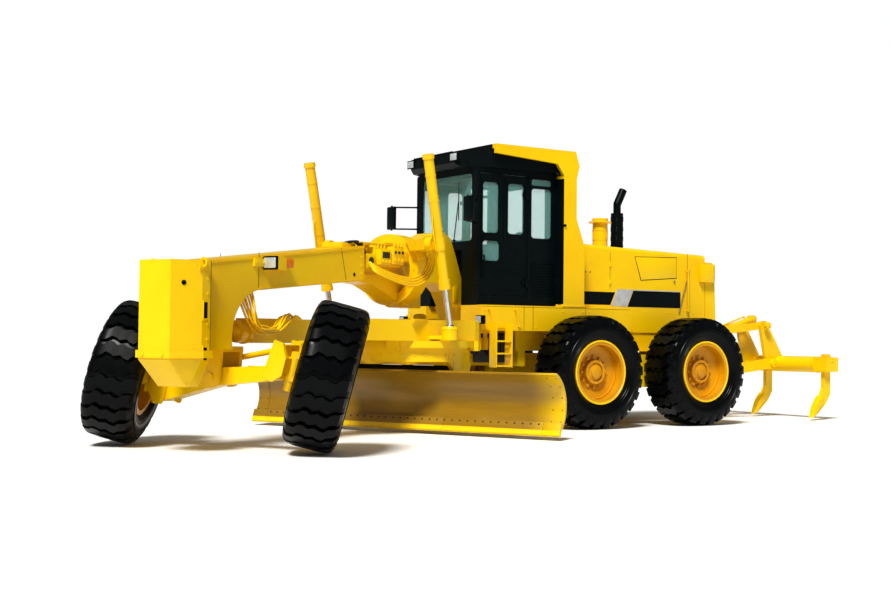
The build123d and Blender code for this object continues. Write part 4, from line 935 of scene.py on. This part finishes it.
def deck_detail():
    dark, plates, lens, case = Form(), Form(), Form(), Form()
    for way in (1, -1):
        seam = span(way, 0.9495, 0.9512)
        for x in (-0.313, -0.471, -1.42):
            dark.box((x - 0.003, x + 0.003), seam, (1.375, 1.715), 0.0004)
        dark.box((-2.26, 0.41), seam, (1.700, 1.704), 0.0004)
        for x in (0.30, -0.15):
            plates.rod((x, way * 0.94, 1.66), (x, way * 0.99, 1.66), 0.011, sides=12)
            plates.rod((x, way * 0.99, 1.67), (x - 0.06, way * 0.99, 1.42), 0.011, sides=12)
            plates.rod((x - 0.06, way * 0.94, 1.43), (x - 0.06, way * 0.99, 1.43), 0.011, sides=12)
        plates.nuts([(x, way * 0.95, z) for x in (0.36, -0.26, -0.52, -1.0, -1.37, -1.48, -2.2)
                     for z in (1.42, 1.65)], (0, way, 0), 0.010, 0.008)
        # ribbed tread plate on the walkway beside the cab
        for k in range(40):
            x = 0.38 - k * 0.033
            plates.box((x - 0.006, x + 0.006), span(way, 0.80, 0.94), (1.7195, 1.7235), 0.001)
        # work lamp on its bracket
        plates.box((0.40, 0.432), span(way, 0.90, 0.98), (1.45, 1.60), 0.004)
        case.box((0.425, 0.50), span(way, 0.93, 1.07), (1.455, 1.575), 0.012)
        lens.box((0.497, 0.506), span(way, 0.942, 1.058), (1.467, 1.563), 0.006)
        # post feet and door catch
        plates.box((-1.42, -0.99), span(way, 0.783, 0.957), (1.7205, 1.745), 0.004)
        plates.nuts([(x, way * y, 1.745) for x in (-1.405, -1.003) for y in (0.81, 0.93)], UP, 0.014, 0.014)
        case.rod((-1.02, way * 0.945, 2.885), (-1.02, way * 0.975, 2.885), 0.018, sides=14)
    dark.done("deck_seams", BLACK, "rear")
    plates.done("deck_fittings", YELLOW, "rear")
    case.done("deck_lamp_cases", BLACK, "rear")
    lens.done("deck_lamp_glass", LENS, "rear", "tinted_glass")


def ladder():
    """Entry steps: bent flat-bar sides, open rungs and a footrest, in place of the plain ladders."""
    form = Form()
    for way in (1, -1):
        for x in (0.0, 0.262):
            form.box((x, x + 0.018), span(way, 0.952, 1.118), (0.862, 1.478), 0.003)
        for z in (0.872, 1.042, 1.212):
            tread = (z, z + 0.022)
            form.box((0.018, 0.262), span(way, 0.953, 0.975), tread, 0.003)
            form.box((0.018, 0.262), span(way, 1.095, 1.117), tread, 0.003)
            for k in range(5):
                form.box((0.035 + k * 0.048, 0.047 + k * 0.048), span(way, 0.975, 1.095), tread, 0.001)
        form.box((0.018, 0.262), span(way, 0.952, 0.962), (1.40, 1.478), 0.002)
    form.done("ladder_steps", YELLOW, "rear", replaces=("ladders",))


def rear_detail():
    """Covers on the axle ends, bolts round the tandem's middle, collars of the hinge between the frames."""
    form, axle = Form(), 0.8
    for way in (1, -1):
        cover = [(0.10, -0.004 * way), (0.16, -0.004 * way), (0.16, 0.006 * way), (0.10, 0.006 * way)]
        for x in (-1.23, -3.25):
            form.lathe((x, way * 0.9465, axle), LEFT, cover, sides=32)
        form.nuts([(-2.24 + 0.24 * cos(a), way * 0.945, axle + 0.24 * sin(a)) for a in turns(14)],
                  (0, way, 0), 0.014, 0.012)
        form.nuts([(-0.45, way * y, 1.372) for y in (0.56, 0.62, 0.68)], UP, 0.012, 0.01)
    for z in (0.872, 1.302):
        form.ring((0, 0, z + 0.029), UP, 0.062, 0.098, 0.031)
    form.done("frame_bolts", YELLOW, "rear")


def under_deck():
    """Transmission side and pump as dark iron boxes, painted shade under the deck, and filters between the steps
    and the front rear-wheels.
    """
    shade_iron, cans = Form(), Form()
    for way in (1, -1):
        shade_iron.box((-0.36, 0.22), span(way, 0.455, 0.60), (0.92, 1.34), 0.02)
        shade_iron.box((-0.30, 0.10), span(way, 0.60, 0.70), (1.02, 1.30), 0.03)
        for k in range(5):
            shade_iron.box((-0.27 + k * 0.075, -0.235 + k * 0.075), span(way, 0.69, 0.72), (1.04, 1.28), 0.004)
        shade_iron.rod((-0.38, way * 0.52, 1.10), (0.30, way * 0.52, 1.10), 0.06, sides=24, soft=0.006)
        for x in (0.20, 0.31):
            cans.rod((x, way * 0.74, 1.10), (x, way * 0.74, 1.27), 0.045, sides=22, soft=0.008)
            cans.rod((x, way * 0.74, 1.27), (x, way * 0.74, 1.335), 0.030, sides=6)
        cans.box((0.13, 0.40), span(way, 0.68, 0.80), (1.33, 1.372), 0.005)
    shade_iron.done("transmission_shade", IRON, "rear", "engine_iron")
    cans.done("oil_filters", YELLOW, "rear")


hood_detail()
tail_lamps()
stack_detail()
deck_detail()
ladder()
rear_detail()
under_deck()


# ---------------------------------------------------------------- ripper
def ripper_detail():
    """Pins, wear plates and tips of the shanks, caps on the beam's ends and link pins."""
    form, tips = Form(), Form()
    beam, shanks = -6.15, (0, 1.25, -1.25)
    for y in shanks:
        for way in (1, -1):
            form.rod((beam, y + way * 0.135, 0.96), (beam, y + way * 0.147, 0.96), 0.03, sides=18,
                     soft=0.002)
        form.nuts([(x, y, 1.01) for x in (-6.27, -6.06)], UP, 0.02, 0.014)
        form.prism([(-5.835, 0.100), (-5.935, 0.150), (-6.040, 0.270), (-6.062, 0.372), (-6.010, 0.400),
                    (-5.948, 0.335), (-5.885, 0.235)], y - 0.056, y + 0.056, soft=0.010)
        tips.prism([(-5.802, 0.046), (-5.905, 0.082), (-5.960, 0.165), (-5.900, 0.205), (-5.858, 0.150)],
                   y - 0.045, y + 0.045, soft=0.006)
        form.rod((-5.985, y - 0.064, 0.325), (-5.985, y + 0.064, 0.325), 0.020, sides=16)
    for way in (1, -1):
        cap = [(THIN, 0.0), (0.11, 0.0), (0.11, way * 0.010), (THIN, way * 0.010)]
        form.lathe((beam, way * 1.118, 0.89), LEFT, cap, sides=32)
        for x, z, y, radius in ((-5.7607, 1.520, 0.345, 0.056), (-5.9007, 0.900, 0.349, 0.066)):
            form.rod((x, way * (y - 0.01), z), (x, way * (y + 0.055), z), radius, sides=28, soft=0.004)
            form.rod((x, way * (y + 0.05), z), (x, way * (y + 0.068), z), 0.022, sides=6)
    form.done("ripper_pins", YELLOW, "ripper_beam")
    tips.done("ripper_tips", BLADE, "ripper_beam", "chromed_rod")


def ripper_cylinder():
    """Barrel, its collars and pipe, the rod and both eyes, in the middle between the links."""
    form, bright = Form(), Form()
    foot, head = Vector((-4.62, 0, 1.256)), Vector((-5.80, 0, 1.628))
    run = (head - foot).normalized()
    up = LEFT.cross(run) * 0.10
    near, far = foot - run * 0.28, head - run * 0.03
    form.rod(foot, head, 0.062, sides=32, soft=0.006)
    for s in (0.03, 0.40, 1.18):
        form.ring(foot + run * s, run, 0.058, 0.073, 0.022)
    form.rod(far - LEFT * 0.05, far + LEFT * 0.05, 0.075, sides=24, soft=0.005)
    form.rod(foot + run * 0.35 + up, foot + run * 1.05 + up, 0.014, sides=10)
    for s in (0.35, 1.05):
        form.rod(foot + run * s, foot + run * s + up * 1.05, 0.014, sides=10)
    form.box((-5.80, -5.72), (-0.035, 0.035), (1.49, 1.60), 0.006)
    bright.rod(near, foot, 0.032, sides=24)
    form.rod(near - LEFT * 0.05, near + LEFT * 0.05, 0.055, sides=24, soft=0.004)
    form.done("ripper_cylinders", YELLOW, "ripper_links")
    bright.done("ripper_cylinder_rods", CHROME, "ripper_links", "chromed_rod")


ripper_cylinder()
ripper_detail()


# ---------------------------------------------------------------- floor and light
SURROUND = 0.24  # strength of the surround as a light
GAMMA = 0.88
SUN_FROM, SUN_POWER, SUN_WIDTH, SUN_COLOUR = (0.55, 0.47, 0.90), 4.0, radians(14), (1.0, 0.985, 0.95)


def set_stage():
    mesh = bpy.data.meshes.new("floor")
    form = bmesh.new()
    bmesh.ops.create_grid(form, x_segments=1, y_segments=1, size=60)
    form.to_mesh(mesh)
    form.free()
    floor = linked("floor", mesh)
    f = Finish("pale_floor")
    shade = f.mix(f.noise(0.4, 2.0), (0.95, 0.95, 0.95), (0.96, 0.96, 0.96))
    mesh.materials.append(f.surface(Base_Color=shade, Roughness=0.9))


def set_light():
    """A soft sun from ahead, and an even surround that is white to the camera alone."""
    world = bpy.data.worlds.new("studio")
    bpy.context.scene.world = world
    world.use_nodes = True
    back = world.node_tree.nodes["Background"]
    back.inputs[0].default_value = (1.0, 1.0, 1.0, 1.0)
    seen = world.node_tree.nodes.new("ShaderNodeLightPath")
    level = world.node_tree.nodes.new("ShaderNodeMapRange")
    level.inputs["To Min"].default_value = SURROUND
    level.inputs["To Max"].default_value = 1.0
    world.node_tree.links.new(seen.outputs["Is Camera Ray"], level.inputs["Value"])
    world.node_tree.links.new(level.outputs["Result"], back.inputs[1])
    bpy.context.scene.view_settings.view_transform = "Standard"
    bpy.context.scene.view_settings.gamma = GAMMA
    data = bpy.data.lights.new("key", "SUN")
    data.energy = SUN_POWER
    data.angle = SUN_WIDTH
    data.color = SUN_COLOUR
    linked("key", data).rotation_euler = Vector(SUN_FROM).to_track_quat("Z", "Y").to_euler()


set_stage()
set_light()
